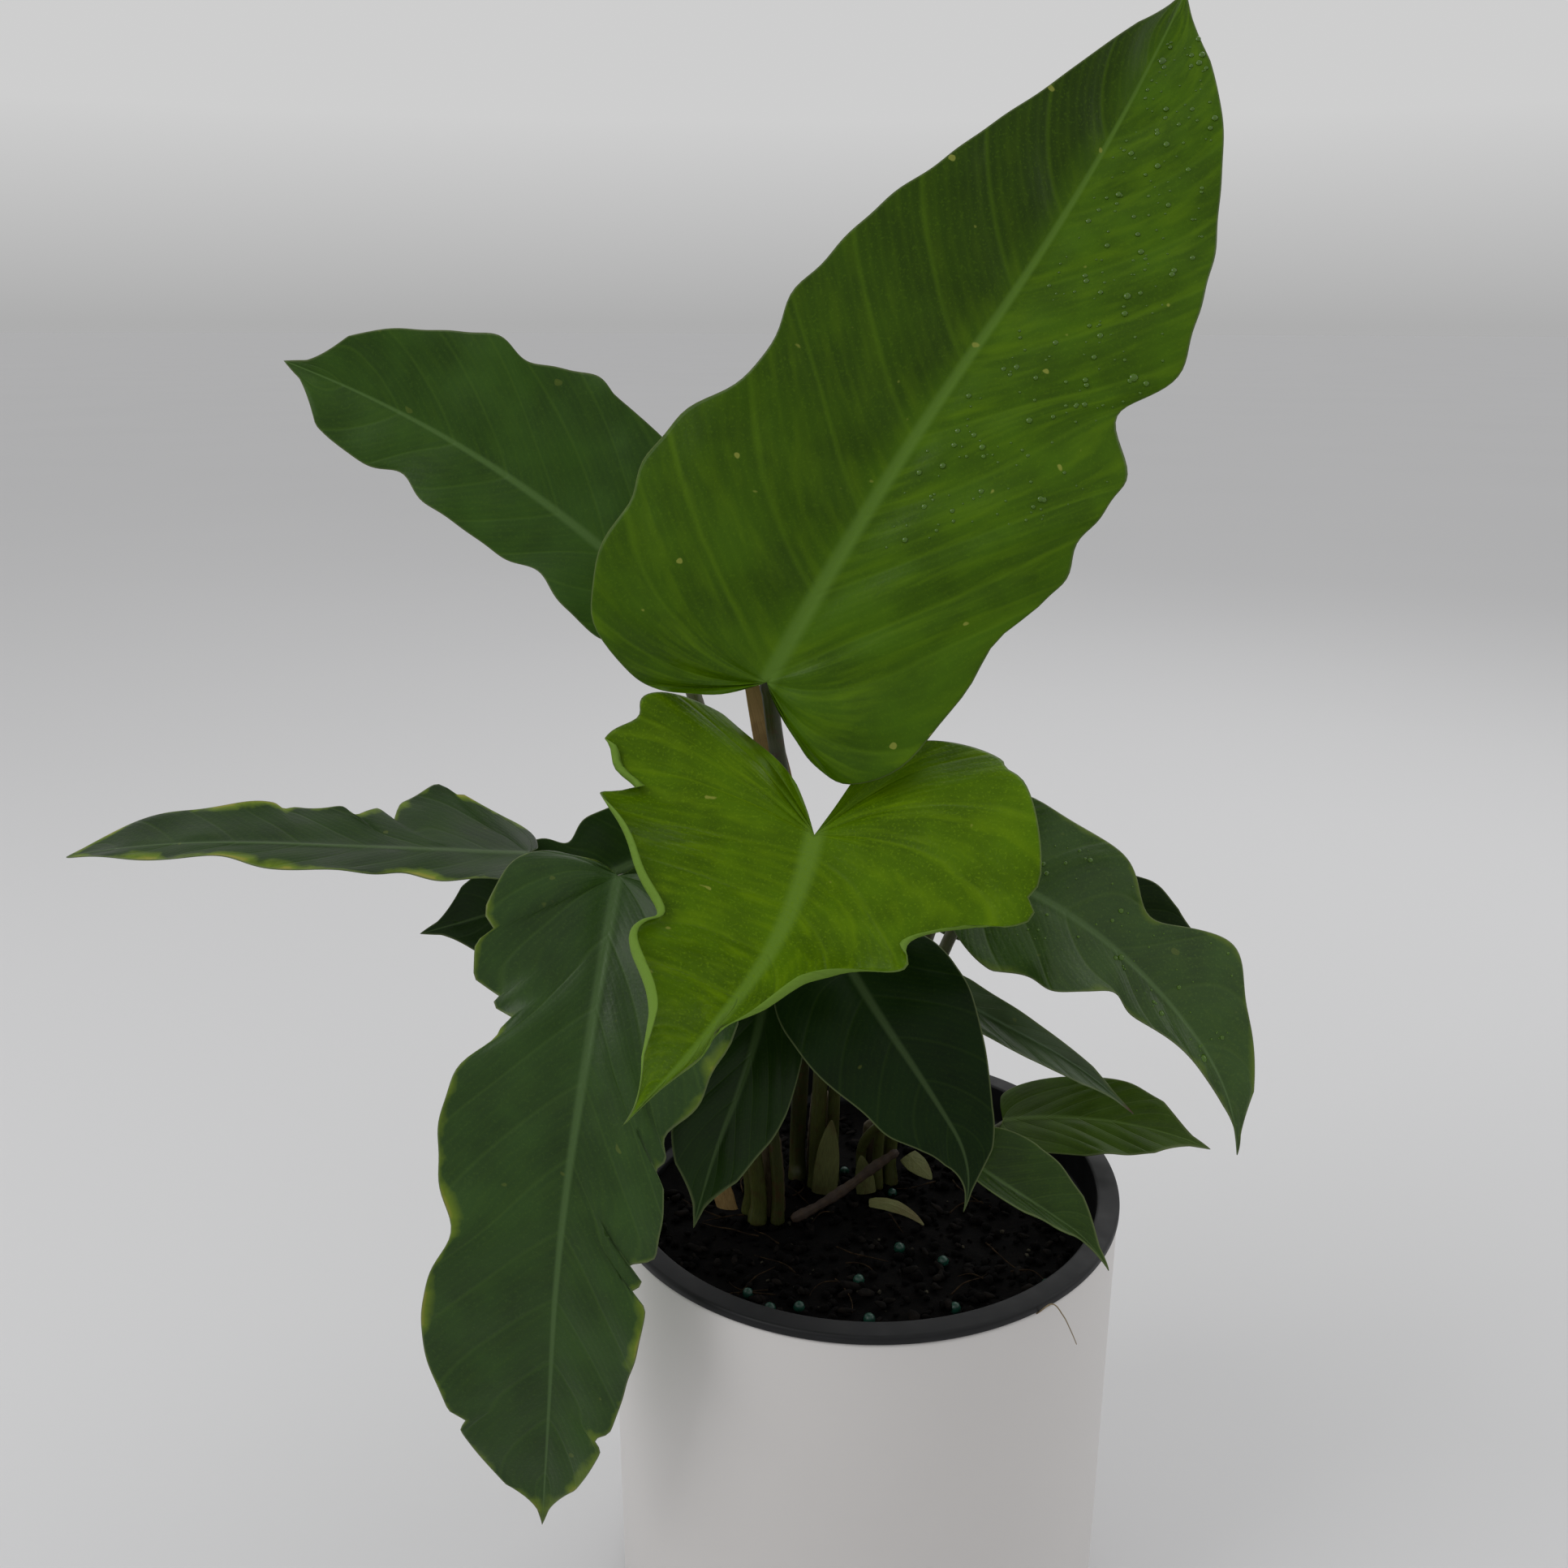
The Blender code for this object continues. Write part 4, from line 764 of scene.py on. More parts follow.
def grown_skin(name, body, roughness, streaks, scale):
    """Living or corky stem: long fibres under a thin skin, so streaks along it and small pores."""
    made, tree, shader = finish(name, roughness, 1.45)
    wrap = node(tree, "UVMap", uv_map="wrap")
    place = node(tree, "TexCoord", out="Object")
    long = node(tree, "Mapping", {"Vector": wrap, "Scale": (0.06, 3.0, 1)})
    fibre = node(tree, "TexNoise", {"Vector": long, "Scale": scale, "Detail": 5.0})
    spots = node(tree, "TexNoise", {"Vector": place, "Scale": 400.0, "Detail": 3.0})
    share = node(tree, "MapRange", {"Value": fibre, "From Min": 0.35, "From Max": 0.65})
    colour = node(tree, "Mix", {0: share, 6: shade(body, 0.6), 7: shade(body, 1.25)}, **COLOURS)
    share = node(tree, "MapRange",
                 {"Value": spots, "From Min": 0.52, "From Max": 0.66, "To Max": streaks})
    colour = node(tree, "Mix", {0: share, 6: colour, 7: (*linear("#3d2c18"), 1)}, **COLOURS)
    height = node(tree, "Math", {0: fibre, 1: spots}, operation="ADD")
    bump = node(tree, "Bump", {"Strength": 0.5, "Distance": 0.15 * MM, "Height": height})
    feed(shader, {"Base Color": colour, "Normal": bump})
    return made


def dry_skin(name, body):
    """Dead sheath: dried to paper, so matt, ribbed along its fibres and darker in patches."""
    made, tree, shader = finish(name, 0.72, 1.4)
    wrap = node(tree, "UVMap", uv_map="wrap")
    place = node(tree, "TexCoord", out="Object")
    long = node(tree, "Mapping", {"Vector": wrap, "Scale": (0.5, 9.0, 1)})
    fibre = node(tree, "TexNoise", {"Vector": long, "Scale": 3.0, "Detail": 6.0})
    stain = node(tree, "TexNoise", {"Vector": place, "Scale": 140.0, "Detail": 4.0})
    share = node(tree, "MapRange", {"Value": fibre, "From Min": 0.35, "From Max": 0.65})
    colour = node(tree, "Mix", {0: share, 6: shade(body, 0.7), 7: shade(body, 1.2)}, **COLOURS)
    share = node(tree, "MapRange", {"Value": stain, "From Min": 0.52, "From Max": 0.72, "To Max": 0.5})
    colour = node(tree, "Mix", {0: share, 6: colour, 7: (*linear("#4d3218"), 1)}, **COLOURS)
    bump = node(tree, "Bump", {"Strength": 0.6, "Distance": 0.2 * MM, "Height": fibre})
    feed(shader, {"Base Color": colour, "Normal": bump})
    return made


def glazed_white(name, body):
    """Cover pot: stoneware under a satin white glaze, so even, faintly uneven in gloss."""
    made, tree, shader = finish(name, 0.42, 1.5)
    place = node(tree, "TexCoord", out="Object")
    cloud = node(tree, "TexNoise", {"Vector": place, "Scale": 14.0, "Detail": 3.0})
    orange = node(tree, "TexNoise", {"Vector": place, "Scale": 900.0, "Detail": 2.0})
    colour = node(tree, "Mix", {0: cloud, 6: shade(body, 0.96), 7: shade(body, 1.03)}, **COLOURS)
    dull = node(tree, "MapRange", {"Value": cloud, "To Min": 0.36, "To Max": 0.5})
    bump = node(tree, "Bump", {"Strength": 0.25, "Distance": 0.05 * MM, "Height": orange})
    feed(shader, {"Base Color": colour, "Roughness": dull, "Normal": bump})
    return made


def moulded_black(name, body):
    """Grower pot: polypropylene blown thin in a mould, so satin, with pale scuffs and dried dust."""
    made, tree, shader = finish(name, 0.45, 1.49, Specular_IOR_Level=0.3)
    place = node(tree, "TexCoord", out="Object")
    dust = node(tree, "TexNoise", {"Vector": place, "Scale": 160.0, "Detail": 6.0})
    turned_scale = node(tree, "Mapping", {"Vector": place, "Scale": (60, 60, 1400)})
    scuff = node(tree, "TexNoise", {"Vector": turned_scale, "Scale": 1.0, "Detail": 4.0})
    share = node(tree, "MapRange", {"Value": dust, "From Min": 0.5, "From Max": 0.75, "To Max": 0.35})
    colour = node(tree, "Mix", {0: share, 6: shade(body, 1.0), 7: (*linear("#191a1d"), 1)}, **COLOURS)
    share = node(tree, "MapRange", {"Value": scuff, "From Min": 0.6, "From Max": 0.75, "To Max": 0.25})
    colour = node(tree, "Mix", {0: share, 6: colour, 7: (*linear("#2c2e31"), 1)}, **COLOURS)
    dull = node(tree, "MapRange", {"Value": dust, "To Min": 0.36, "To Max": 0.66})
    bump = node(tree, "Bump", {"Strength": 0.3, "Distance": 0.08 * MM, "Height": dust})
    feed(shader, {"Base Color": colour, "Roughness": dull, "Normal": bump})
    return made


def crumb(name, body, lighter, roughness, scale):
    """Loose stuff of the mix: broken grains, so rough, each a little lighter or darker."""
    made, tree, shader = finish(name, roughness, 1.4, Specular_IOR_Level=0.12)
    place = node(tree, "TexCoord", out="Object")
    grains = node(tree, "TexNoise", {"Vector": place, "Scale": scale, "Detail": 6.0})
    share = node(tree, "MapRange", {"Value": grains, "From Min": 0.42, "From Max": 0.7})
    bump = node(tree, "Bump", {"Strength": 0.8, "Distance": 0.4 * MM, "Height": grains})
    colour = node(tree, "Mix", {0: share, 6: shade(body, 0.7), 7: lighter}, **COLOURS)
    feed(shader, {"Base Color": colour, "Normal": bump})
    return made


class PHILO_OT_cover_pot(bpy.types.Operator):
    """Builds the white cover pot, a straight cup with rounded rim and foot."""

    bl_idname = "philo.cover_pot"
    bl_label = "Cover Pot"

    def execute(self, context):
        """A rounded profile carried round Z: floor, inner wall, rim, outer wall, foot."""
        looks = context.scene.philo_pots
        radius, top, soft = COVER_HIGH.x, COVER_HIGH.z, looks.rim_round
        inner = radius - looks.wall
        floor, inner_round = 4 * MM, 3 * MM
        corners = [
            (0, floor, 0), (inner, floor, inner_round), (inner, top, soft), (radius, top, soft),
            (radius, 0, soft), (0, 0, 0),
        ]
        glaze = glazed_white("satin_glazed_stoneware", looks.white)
        turned("cover_pot_glazed", rounded(corners), looks.steps, "cover_white", glaze, ["cover_pot"])
        return {"FINISHED"}


class PHILO_OT_grower_pot(bpy.types.Operator):
    """Builds the black grower pot with its lip, collar, step, tapered body and drain holes."""

    bl_idname = "philo.grower_pot"
    bl_label = "Grower Pot"

    def execute(self, context):
        """A rounded profile carried round Z; the drain holes are cylinders taken out of the floor."""
        looks = context.scene.philo_pots
        rim, top, low = GROWER_HIGH.x, LIP_TOP, GROWER_LOW.z
        thick, wall, floor = 2.5 * MM, 1.2 * MM, 1.6 * MM
        overhang, collar_deep, step, taper = 6.5 * MM, 12 * MM, 1.8 * MM, 11 * MM
        collar = rim - overhang + wall
        under, collar_end = top - thick, top - thick - collar_deep
        body = collar - step
        foot = body - taper
        corners = [
            (0, low + floor, 0), (foot - wall, low + floor, 2 * MM), (body - wall, collar_end, 0.6 * MM),
            (collar - wall, collar_end + step, 0.6 * MM), (collar - wall, top, 0.9 * MM),
            (rim, top, 1.0 * MM), (rim, under, 0.5 * MM), (collar, under, 0.3 * MM),
            (collar, collar_end, 0.5 * MM), (body, collar_end - step, 0.5 * MM), (foot, low, 0.8 * MM),
            (0, low, 0),
        ]
        plastic = moulded_black("moulded_polypropylene", looks.black)
        profile = rounded(corners, 5)
        pot = turned("grower_pot_moulded", profile, looks.steps, "grower_black", plastic, ["grower_pot"])
        drill(pot, low, floor)
        return {"FINISHED"}


def drill(pot, low, floor):
    """Takes six upright cylinders on a circle out of a pot's floor."""
    bore, circle = 4 * MM, 38 * MM
    shape = bmesh.new()
    for angle in np.arange(6) * math.pi / 3:
        size = {"radius1": bore, "radius2": bore, "depth": 4 * floor}
        drop = bmesh.ops.create_cone(shape, cap_ends=True, segments=32, **size)
        where = (circle * math.cos(angle), circle * math.sin(angle), low + floor / 2)
        bmesh.ops.translate(shape, verts=drop["verts"], vec=where)
    mesh = bpy.data.meshes.new("drills")
    shape.to_mesh(mesh)
    shape.free()
    cutter = bpy.data.objects.new("drills", mesh)
    bpy.context.scene.collection.objects.link(cutter)
    cut = pot.modifiers.new("drain", "BOOLEAN")
    cut.object = cutter
    graph = bpy.context.evaluated_depsgraph_get()
    drilled = bpy.data.meshes.new_from_object(pot.evaluated_get(graph))
    pot.modifiers.remove(cut)
    pot.data = drilled
    pot.data.shade_smooth()
    bpy.data.objects.remove(cutter)


def bumpy(x, y):
    """Height of the mix's surface, -1 to 1: four crossed sines of unlike lengths."""
    wide = np.sin(x / 9.1 + 0.4) * np.cos(y / 7.7) + np.sin((x + y) / 5.3)
    return (wide + 0.7 * np.sin(x / 2.3 + 1.9 * np.sin(y / 3.1)) + 0.5 * np.sin(y / 1.7 + x / 2.9)) / 3.2


class PHILO_OT_mix(bpy.types.Operator):
    """Builds the body of potting mix with its uneven surface."""

    bl_idname = "philo.mix"
    bl_label = "Potting Mix"

    def execute(self, context):
        """Rings from the middle out to the wall, then down the tapered side to the floor."""
        looks = context.scene.philo_mix
        edge, low = MIX_HIGH.x - 0.4 * MM, MIX_LOW.z
        rings = np.concatenate([np.linspace(0, edge / MM - 1.5, 70), [edge / MM]])
        angle = np.linspace(0, 2 * np.pi, 240, endpoint=False)
        x, y = rings[:, None] * np.cos(angle), rings[:, None] * np.sin(angle)
        calm = np.clip((edge / MM - rings) / 4, 0, 1)[:, None]
        z = looks.relief / MM * (0.5 * bumpy(x, y) - 0.5) * calm - 0.5
        wide, bottom = MIX_HIGH.x / MM, (low - MIX_TOP) / MM
        side = np.array([(wide - 1, -3.0), (wide - 11, bottom), (0, bottom)])
        flat = np.broadcast_to(side[:, 1:], (3, len(angle)))
        wall = np.stack([side[:, :1] * np.cos(angle), side[:, :1] * np.sin(angle), flat], -1)
        points = np.concatenate([np.stack([x, y, z], -1), wall]).reshape(-1, 3)
        quads = ring_quads(len(rings) + len(side), len(angle))
        peat = crumb("moist_peat", looks.peat, shade(looks.bark, 0.8), 0.9, 520.0)
        piece("potting_mix_body", points, quads, peat, ["potting_mix"])
        return {"FINISHED"}


def ball_points(rings, around):
    """A ball of radius 1: rings from pole to pole, each of points around it."""
    theta, phi = np.linspace(0, np.pi, rings), np.linspace(0, 2 * np.pi, around, endpoint=False)
    theta, phi = np.meshgrid(theta, phi, indexing="ij")
    x, y = np.sin(theta) * np.cos(phi), np.sin(theta) * np.sin(phi)
    return np.stack([x, y, np.cos(theta)], -1).reshape(-1, 3)


def ball_quads(rings, around, count):
    """Quads of count such balls, one after the other."""
    first = np.arange(count)[:, None, None] * rings * around
    return (ring_quads(rings, around)[None] + first).reshape(-1, 4)


def copies(name, count, seed, size, squash, inner, outer, coat, height=0.6):
    """Loose crumbs: one bumpy ball of 40 faces, turned, sized and scattered on the mix at random.

    A copy is place + turn * (size * squash * ball); places are even over the ring from inner to
    outer, and those on a crown are pushed out from it.
    """
    dice = np.random.default_rng(seed)
    rings, around = 6, 8
    ball = ball_points(rings, around)
    spin = np.linalg.qr(dice.normal(size=(count, 3, 3)))[0]
    spin = spin * np.sign(np.linalg.det(spin))[:, None, None]
    flat = dice.normal(1, 0.18, (count, 1, 3)).clip(0.6, 1.5) * squash
    lumps = np.sin(3 * ball[None, :, :1] + 2 * ball[None, :, 1:2])
    rough = 1 + (0.26 * dice.normal(size=(count, 1, 1)) * lumps).clip(-0.3, 0.3)
    if min(squash) == max(squash):
        flat, rough = np.ones((count, 1, 3)), 1.0
    each = dice.uniform(size[0], size[1], (count, 1, 1)) / 2
    lying = np.einsum("nij,nkj->nki", tilt(spin), ball[None] * flat * rough * each)
    radius = np.sqrt(dice.uniform(inner**2, outer**2, count))
    angle = dice.uniform(0, 2 * np.pi, count)
    x, y = radius * np.cos(angle), radius * np.sin(angle)
    for crown in CROWNS.values():
        away = np.stack([x, y], -1) - crown["foot"]
        gap = np.linalg.norm(away, axis=-1)
        push = np.maximum(crown["radius"] + 3.5 - gap, 0)
        x, y = x + away[:, 0] / gap * push, y + away[:, 1] / gap * push
    z = -1.3 + height * each[:, 0, 0] + 0.8 * bumpy(x, y)
    points = lying + np.stack([x, y, z], -1)[:, None]
    piece(name, points.reshape(-1, 3), ball_quads(rings, around, count), coat)


def tilt(spin):
    """Turns that keep a copy mostly lying down: each random turn's third axis is drawn upright."""
    axis = spin[:, :, 2] * 0.5 + np.array([0, 0, 1.2])
    first = unit(np.cross(axis, spin[:, :, 0]))
    up = unit(axis)
    return np.stack([np.cross(first, up), first, up], -1)


class PHILO_OT_crumbs(bpy.types.Operator):
    """Builds what lies in the mix: bark, peat crumbs, perlite, fibres and fertiliser prills."""

    bl_idname = "philo.crumbs"
    bl_label = "Bark, Perlite and Prills"

    def execute(self, context):
        """Each kind but the fibres is one scattered mesh; every fibre is a tube of its own."""
        looks = context.scene.philo_mix
        prill = looks.prill / MM
        wide = MIX_HIGH.x / MM - 4
        bark = crumb("composted_bark", looks.bark, shade(looks.bark, 2.6), 0.8, 380.0)
        copies("bark_chips", 210, looks.seed, (1.5, 5.5), (1.0, 0.5, 0.35), 4, wide, bark)
        peat = crumb("peat_crumb", looks.peat, shade(looks.bark, 1.0), 0.95, 700.0)
        copies("peat_crumbs", 900, looks.seed + 1, (1.0, 3.6), (1.0, 0.8, 0.6), 2, wide, peat)
        perlite = crumb("expanded_perlite", linear("#35322a"), (*linear("#545043"), 1), 0.9, 900.0)
        copies("perlite_grains", 60, looks.seed + 2, (0.5, 1.5), (1.0, 0.85, 0.7), 6, wide, perlite)
        resin, sizes = prill_coat("resin_coated_prill", looks.teal), (prill * 0.92, prill * 1.05)
        copies("fertiliser_prills", 24, looks.seed + 3, sizes, (1, 1, 1), 14, wide, resin, 0.9)
        dice = np.random.default_rng(looks.seed + 4)
        fibre = crumb("coir_fibre", linear("#20170e"), (*linear("#3a2c1b"), 1), 0.8, 500.0)
        for index in range(26):
            start = np.array([*dice.uniform(-42, 42, 2), 0.0])
            turns = np.cumsum(np.cumsum(dice.normal(0, 0.35, 9))) * 0.2 + dice.uniform(0, 6.3)
            steps = np.stack([np.cos(turns), np.sin(turns), 0 * turns], -1) * dice.uniform(1.0, 2.4)
            path = through(start + np.cumsum(steps, axis=0), np.linspace(0, 1, 24))
            path = path * np.minimum(1, (wide - 1) / np.linalg.norm(path[:, :2], axis=1).max())
            path[:, 2] = 0.1 + 0.9 * bumpy(path[:, 0], path[:, 1]) + 0.7 * np.sin(np.linspace(0, np.pi, 24))
            tube(f"coir_fibre_{index:02d}", path, np.linspace(0.28, 0.1, 24), 6, fibre)
        return {"FINISHED"}


def prill_coat(name, body):
    """Fertiliser prill: a pellet rolled in tinted resin, so an even satin ball, a little dusty."""
    made, tree, shader = finish(name, 0.4, 1.5)
    place = node(tree, "TexCoord", out="Object")
    dust = node(tree, "TexNoise", {"Vector": place, "Scale": 700.0, "Detail": 4.0})
    share = node(tree, "MapRange", {"Value": dust, "From Min": 0.45, "From Max": 0.7, "To Max": 0.6})
    colour = node(tree, "Mix", {0: share, 6: shade(body, 1.0), 7: shade(body, 0.35)}, **COLOURS)
    feed(shader, {"Base Color": colour})
    return made


class PHILO_OT_blades(bpy.types.Operator):
    """Builds the thirteen blades, each from its own outline, fold and curl."""

    bl_idname = "philo.blades"
    bl_label = "Blades"

    def execute(self, context):
        """Each blade is a fine closed sheet that stands for its node; leaves share a few skins."""
        looks = context.scene.philo_foliage
        grid = (looks.rows, looks.columns, looks.thickness)
        coats = {key: leaf_skin(f"waxy_leaf_{key}", getattr(looks, key)[:], {**SKIN, **skin})
                 for key, skin in SKINS.items()}
        for name, shape in LEAVES.items():
            skin = shape["skin"]
            whole = {**LEAF, **shape}
            thin_sheet(name + "_grown", name + "_blade", whole, SKINS[skin]["slot"], coats[skin], *grid)
        return {"FINISHED"}


class PHILO_OT_petioles(bpy.types.Operator):
    """Builds the thirteen petioles, which run on beneath their blades as the midrib."""

    bl_idname = "philo.petioles"
    bl_label = "Petioles"

    def execute(self, context):
        """A tube from the crown through its points to the joint, and on under the midrib."""
        looks = context.scene.philo_foliage
        green = grown_skin("fibrous_petiole", looks.stalk[:], 0.42, 0.5, 6.0)
        brown = grown_skin("fibrous_petiole_brown", shade(looks.stalk[:], 0.62)[:3], 0.42, 0.8, 6.0)
        for name, shape in LEAVES.items():
            blade = Blade({**LEAF, **shape})
            crown_name, bearing, radius, passes = shape["stalk"]
            crown = CROWNS[crown_name]
            off = crown["radius"] + CROWN_CLEARANCE + 1.12 * radius
            angle = math.radians(bearing)
            away = off * np.array([math.cos(angle), math.sin(angle), 0])
            foot = np.array([*crown["foot"], FOOT_GAP]) + away
            joint = np.asarray(shape["joint"], float) - blade.up[0] * (0.65 + radius)
            route = [foot, foot + (0, 0, STRAIGHT_RISE), *passes, joint]
            path = through(route, np.linspace(0, 1, 110))
            reach = np.linspace(0.02, 0.16, 22) * blade.length
            sink = radius * np.linspace(1.0, 0.25, 22)
            rib = blade.read(blade.points, reach) - blade.read(blade.up, reach) * (sink + 0.2)[:, None]
            path = through(np.vstack([path[::4], rib[::3]]), np.linspace(0, 1, 160))
            share = np.linspace(0, 1, 160)
            swell = 0.2 * np.exp(-((share / 0.05) ** 2)) + 0.16 * np.exp(-(((share - 0.8) / 0.05) ** 2))
            radii = radius * (np.interp(share, [0, 0.8, 1], [1.08, 0.9, 0.2]) + swell)
            coat = brown if name in ("tall_leaf", "small_dark_leaf") else green
            tube(name + "_stalk", path, radii, 20, coat, [name + "_petiole"], 0.03)
        return {"FINISHED"}


class PHILO_OT_crowns(bpy.types.Operator):
    """Builds the three crowns, ringed where old leaves have dropped."""

    bl_idname = "philo.crowns"
    bl_label = "Crowns"

    def execute(self, context):
        """An upright tube whose radius has a low ring every few mm."""
        cork = grown_skin("corky_crown", context.scene.philo_foliage.cork[:], 0.75, 0.7, 9.0)
        for name, crown in CROWNS.items():
            rise = np.linspace(0, 1, 90)
            climb = np.stack([0 * rise, 0 * rise, rise * crown["height"]], -1)
            path = np.array([*crown["foot"], 0.3]) + climb
            rings = 0.05 * np.abs(np.sin(rise * crown["height"] / 1.6)) ** 0.5
            taper = np.interp(rise, [0, 0.5, 0.93, 1], [1, 0.9, 0.66, 0.3])
            radii = crown["radius"] * (taper - 0.05 + rings)
            tube(name + "_corky_crown", path, radii, 36, cork, [name + "_crown"], 0.025)
        return {"FINISHED"}


class PHILO_OT_old_stem(bpy.types.Operator):
    """Builds the old stem lying across the crowns' feet."""

    bl_idname = "philo.old_stem"
    bl_label = "Old Stem"

    def execute(self, context):
        """A tube with wrinkles across it."""
        share = np.linspace(0, 1, 90)
        wrinkles = 0.86 + 0.1 * np.sin(share * 19) + 0.05 * np.sin(share * 75)
        radii = OLD_STEM["radius"] * wrinkles * np.interp(share, [0, 0.04, 0.97, 1], [0.6, 1, 0.95, 0.5])
        bark = grown_skin("wrinkled_old_stem", linear("#33251a"), 0.7, 0.8, 8.0)
        path = through(OLD_STEM["points"], share)
        tube("old_stem_wrinkled", path, radii, 24, bark, ["old_stem"], 0.05)
        return {"FINISHED"}


class PHILO_OT_sheaths(bpy.types.Operator):
    """Builds the dry sheaths round the crowns and behind the tallest petiole."""

    bl_idname = "philo.sheaths"
    bl_label = "Dry Sheaths"

    def execute(self, context):
        """Each is a thin curled sheet with fibres along it."""
        skins = {
            "dry_brown": dry_skin("dried_sheath_brown", linear("#9c8050")),
            "dry_cream": dry_skin("dried_sheath_cream", linear("#626539")),
        }
        for name, shape in SHEATHS.items():
            skin = shape["skin"]
            thin_sheet(name + "_papery", name, {**PLAIN, **shape}, skin, skins[skin], 70, 10, 0.4 * MM)
        return {"FINISHED"}


class PHILO_OT_root(bpy.types.Operator):
    """Builds the fine root that hangs over the rim."""

    bl_idname = "philo.root"
    bl_label = "Fine Root"

    def execute(self, context):
        """A hair-thin tube up from the mix, over the lip and down the cover pot."""
        points = [(34, -50, 1), (41, -60, 10), (45, -64.5, 17), (48, -65, 14), (51, -62, 7), (53, -61, 2)]
        path, radii = through(points, np.linspace(0, 1, 60)), np.linspace(0.22, 0.12, 60)
        tube("fine_root", path, radii, 8, dry_skin("dried_root", linear("#8a7a5c")))
        return {"FINISHED"}


class PHILO_OT_water(bpy.types.Operator):
    """Builds the beads of water on the tallest and the right leaf."""

    bl_idname = "philo.water"
    bl_label = "Water Beads"

    def execute(self, context):
        """Flattened balls sitting on the upper surface: place + size * (frame of the leaf * ball)."""
        water = water_skin("clear_water", context.scene.philo_foliage.tall[:])
        rings, around = 7, 10
        ball = ball_points(rings, around) * (1, 1, 0.5)
        count = context.scene.philo_foliage.beads
        wet = {
            "tall_leaf": (count, (0.42, 0.95), (0.12, 0.93)),
            "right_leaf": (count // 3, (0.2, 0.8), (-0.9, 0.6)),
        }
        for name, (number, along, over) in wet.items():
            dice = np.random.default_rng(number)
            share, side = dice.uniform(*along, number), dice.uniform(*over, number)
            points, normals, _ = Blade({**LEAF, **LEAVES[name]}).surface(share, side)
            first = unit(np.cross(normals, (0.3, 0.2, 0.9)))
            turn = np.stack([first, np.cross(normals, first), normals], -1)
            size = 0.25 + 0.6 * dice.power(0.35, number)
            size = np.where(dice.uniform(size=number) < 0.06, size * 1.5, size)
            beads = np.einsum("nij,kj->nki", turn, ball) * size[:, None, None]
            beads = beads + (points + 0.3 * normals)[:, None]
            quads = ball_quads(rings, around, number)
            piece(f"water_on_{name}", beads.reshape(-1, 3), quads, water)
        return {"FINISHED"}


def water_skin(name, body):
    """Water on wax: the bead is painted the leaf's green as seen through it, and its round top glints
    sharply.
    """
    made, tree, shader = finish(name, 0.05, 1.33, Specular_IOR_Level=1.0)
    place = node(tree, "TexCoord", out="Object")
    tone = node(tree, "TexNoise", {"Vector": place, "Scale": 60.0})
    # painted light: the leaf as seen through the water, lighter in patches
    colour = node(tree, "Mix", {0: tone, 6: shade(body, 0.9), 7: shade(body, 1.5)}, **COLOURS)
    feed(shader, {"Base Color": colour})
    return made


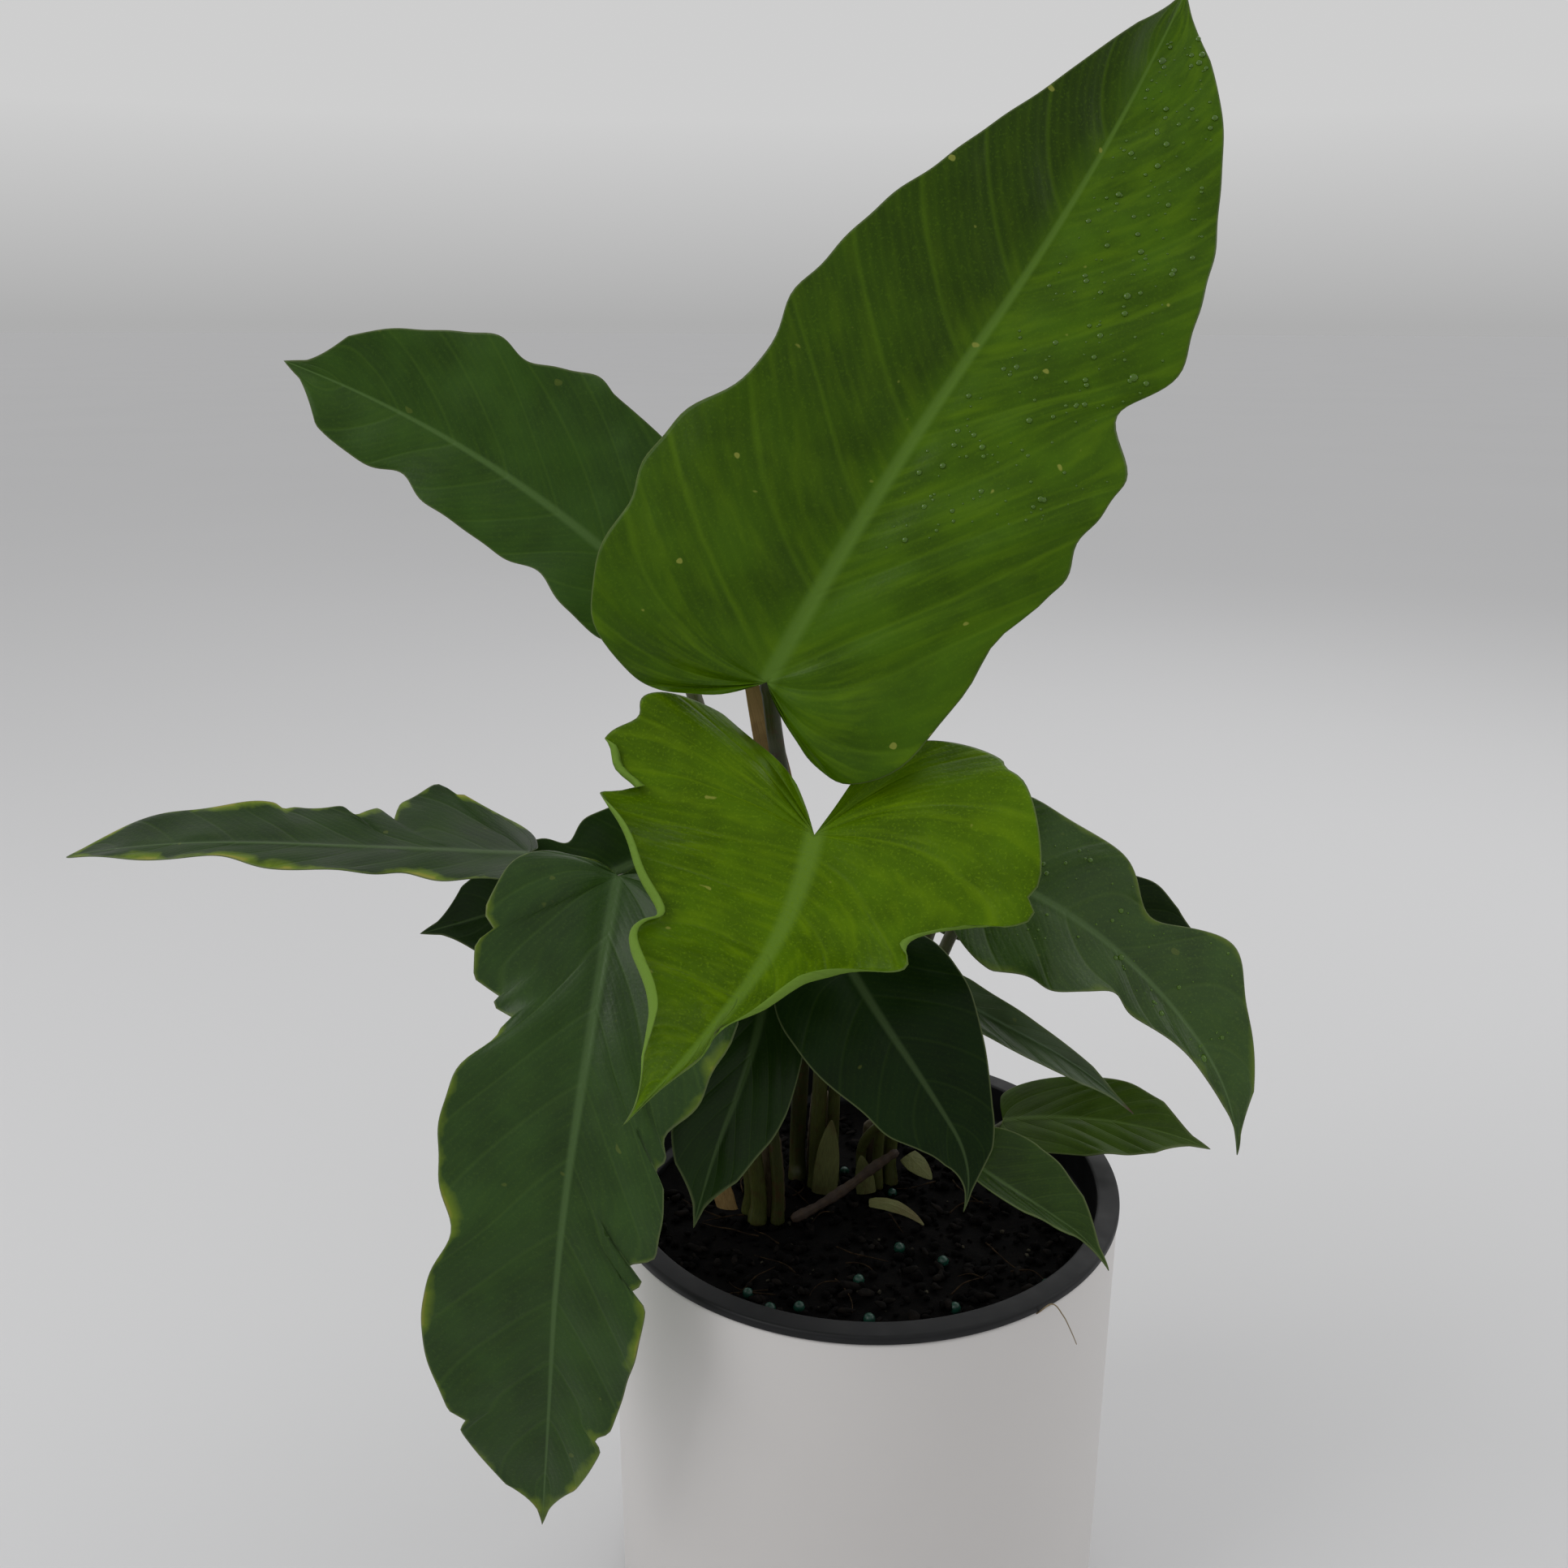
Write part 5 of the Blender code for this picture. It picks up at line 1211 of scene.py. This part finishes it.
class PHILO_OT_stage(bpy.types.Operator):
    """Builds the plain floor, the soft light and the camera."""

    bl_idname = "philo.stage"
    bl_label = "Stage"

    def execute(self, context):
        """A wide disc, three large area lights, a pale world and a camera looking a little down."""
        scene = context.scene
        looks = scene.philo_stage
        angle = np.linspace(0, 2 * np.pi, 96, endpoint=False)
        mesh = bpy.data.meshes.new("floor")
        rim = np.stack([60 * np.cos(angle), 60 * np.sin(angle), 0 * angle - 0.0005], -1)
        mesh.from_pydata(rim.tolist(), [], [list(range(96))])
        floor = bpy.data.objects.new("floor", mesh)
        scene.collection.objects.link(floor)
        card, tree, shader = finish("painted_card", 0.9)
        place = node(tree, "TexCoord", out="Object")
        tone = node(tree, "TexNoise", {"Vector": place, "Scale": 1.5, "Detail": 2.0})
        tones = {6: shade(looks.floor, 0.98), 7: shade(looks.floor, 1.02)}
        feed(shader, {"Base Color": node(tree, "Mix", {0: tone, **tones}, **COLOURS)})
        mesh.materials.append(card)
        world = bpy.data.worlds.new("studio")
        scene.world = world
        world.use_nodes = True
        tree = world.node_tree
        back = tree.nodes["Background"]
        way = node(tree, "TexCoord", out="Generated")
        rise = node(tree, "SeparateXYZ", {"Vector": way}, "Z")
        rise = node(tree, "MapRange", {"Value": rise, "From Min": 0.0, "From Max": 0.12})
        tones = {6: shade(looks.sky, 0.647), 7: shade(looks.sky, 0.95)}
        feed(back, {"Color": node(tree, "Mix", {0: rise, **tones}, **COLOURS), "Strength": 1.0})
        scene.view_settings.view_transform = "Standard"
        lights = [
            ("key_light", (-1.1, -0.5, 1.25), 0.9, 7.0),
            ("right_light", (1.15, 0.2, 0.8), 0.9, 2.2),
            ("back_light", (0.5, 1.0, 1.2), 0.9, 3.0),
        ]
        for name, where, size, power in lights:
            lamp = bpy.data.lights.new(name, "AREA")
            lamp.size = size
            lamp.energy = power
            thing = bpy.data.objects.new(name, lamp)
            thing.location = where
            aim = np.array([0, 0, 0.22]) - where
            tip_over = math.atan2(math.hypot(aim[0], aim[1]), -aim[2])
            thing.rotation_euler = (tip_over, 0, math.atan2(-aim[0], aim[1]))
            scene.collection.objects.link(thing)
        data = bpy.data.cameras.new("camera")
        data.lens = looks.lens
        data.sensor_width = 36
        camera = bpy.data.objects.new("camera", data)
        camera.location = (-0.02394, -0.3805, 0.3838)
        camera.rotation_euler = (math.radians(72.5), math.radians(-0.14), 0)
        scene.collection.objects.link(camera)
        scene.camera = camera
        return {"FINISHED"}


OPERATORS = (
    PHILO_OT_cover_pot, PHILO_OT_grower_pot, PHILO_OT_mix, PHILO_OT_crumbs, PHILO_OT_crowns,
    PHILO_OT_old_stem, PHILO_OT_sheaths, PHILO_OT_petioles, PHILO_OT_blades, PHILO_OT_root,
    PHILO_OT_water, PHILO_OT_stage,
)
GROUPS = {
    "philo_foliage": PHILO_PG_foliage, "philo_pots": PHILO_PG_pots, "philo_mix": PHILO_PG_mix,
    "philo_stage": PHILO_PG_stage,
}


class PHILO_PT_panel(bpy.types.Panel):
    """Lists the pieces and their settings in the sidebar."""

    bl_idname = "PHILO_PT_panel"
    bl_label = "Potted Philodendron"
    bl_space_type = "VIEW_3D"
    bl_region_type = "UI"
    bl_category = "Philodendron"

    def draw(self, context):
        """One button for each operator, then every setting."""
        for operator in OPERATORS:
            self.layout.operator(operator.bl_idname)
        for name, group in GROUPS.items():
            box = self.layout.box()
            for key in group.__annotations__:
                box.prop(getattr(context.scene, name), key)


def register():
    """Registers the settings, the operators and the panel."""
    for name, group in GROUPS.items():
        bpy.utils.register_class(group)
        setattr(bpy.types.Scene, name, bpy.props.PointerProperty(type=group))
    for made in (*OPERATORS, PHILO_PT_panel):
        bpy.utils.register_class(made)


def unregister():
    """Takes them away again."""
    for made in (PHILO_PT_panel, *reversed(OPERATORS)):
        bpy.utils.unregister_class(made)
    for name, group in GROUPS.items():
        delattr(bpy.types.Scene, name)
        bpy.utils.unregister_class(group)


def main():
    """Builds every piece in order."""
    register()
    for operator in OPERATORS:
        section, name = operator.bl_idname.split(".")
        getattr(getattr(bpy.ops, section), name)()


if __name__ == "__main__":
    main()
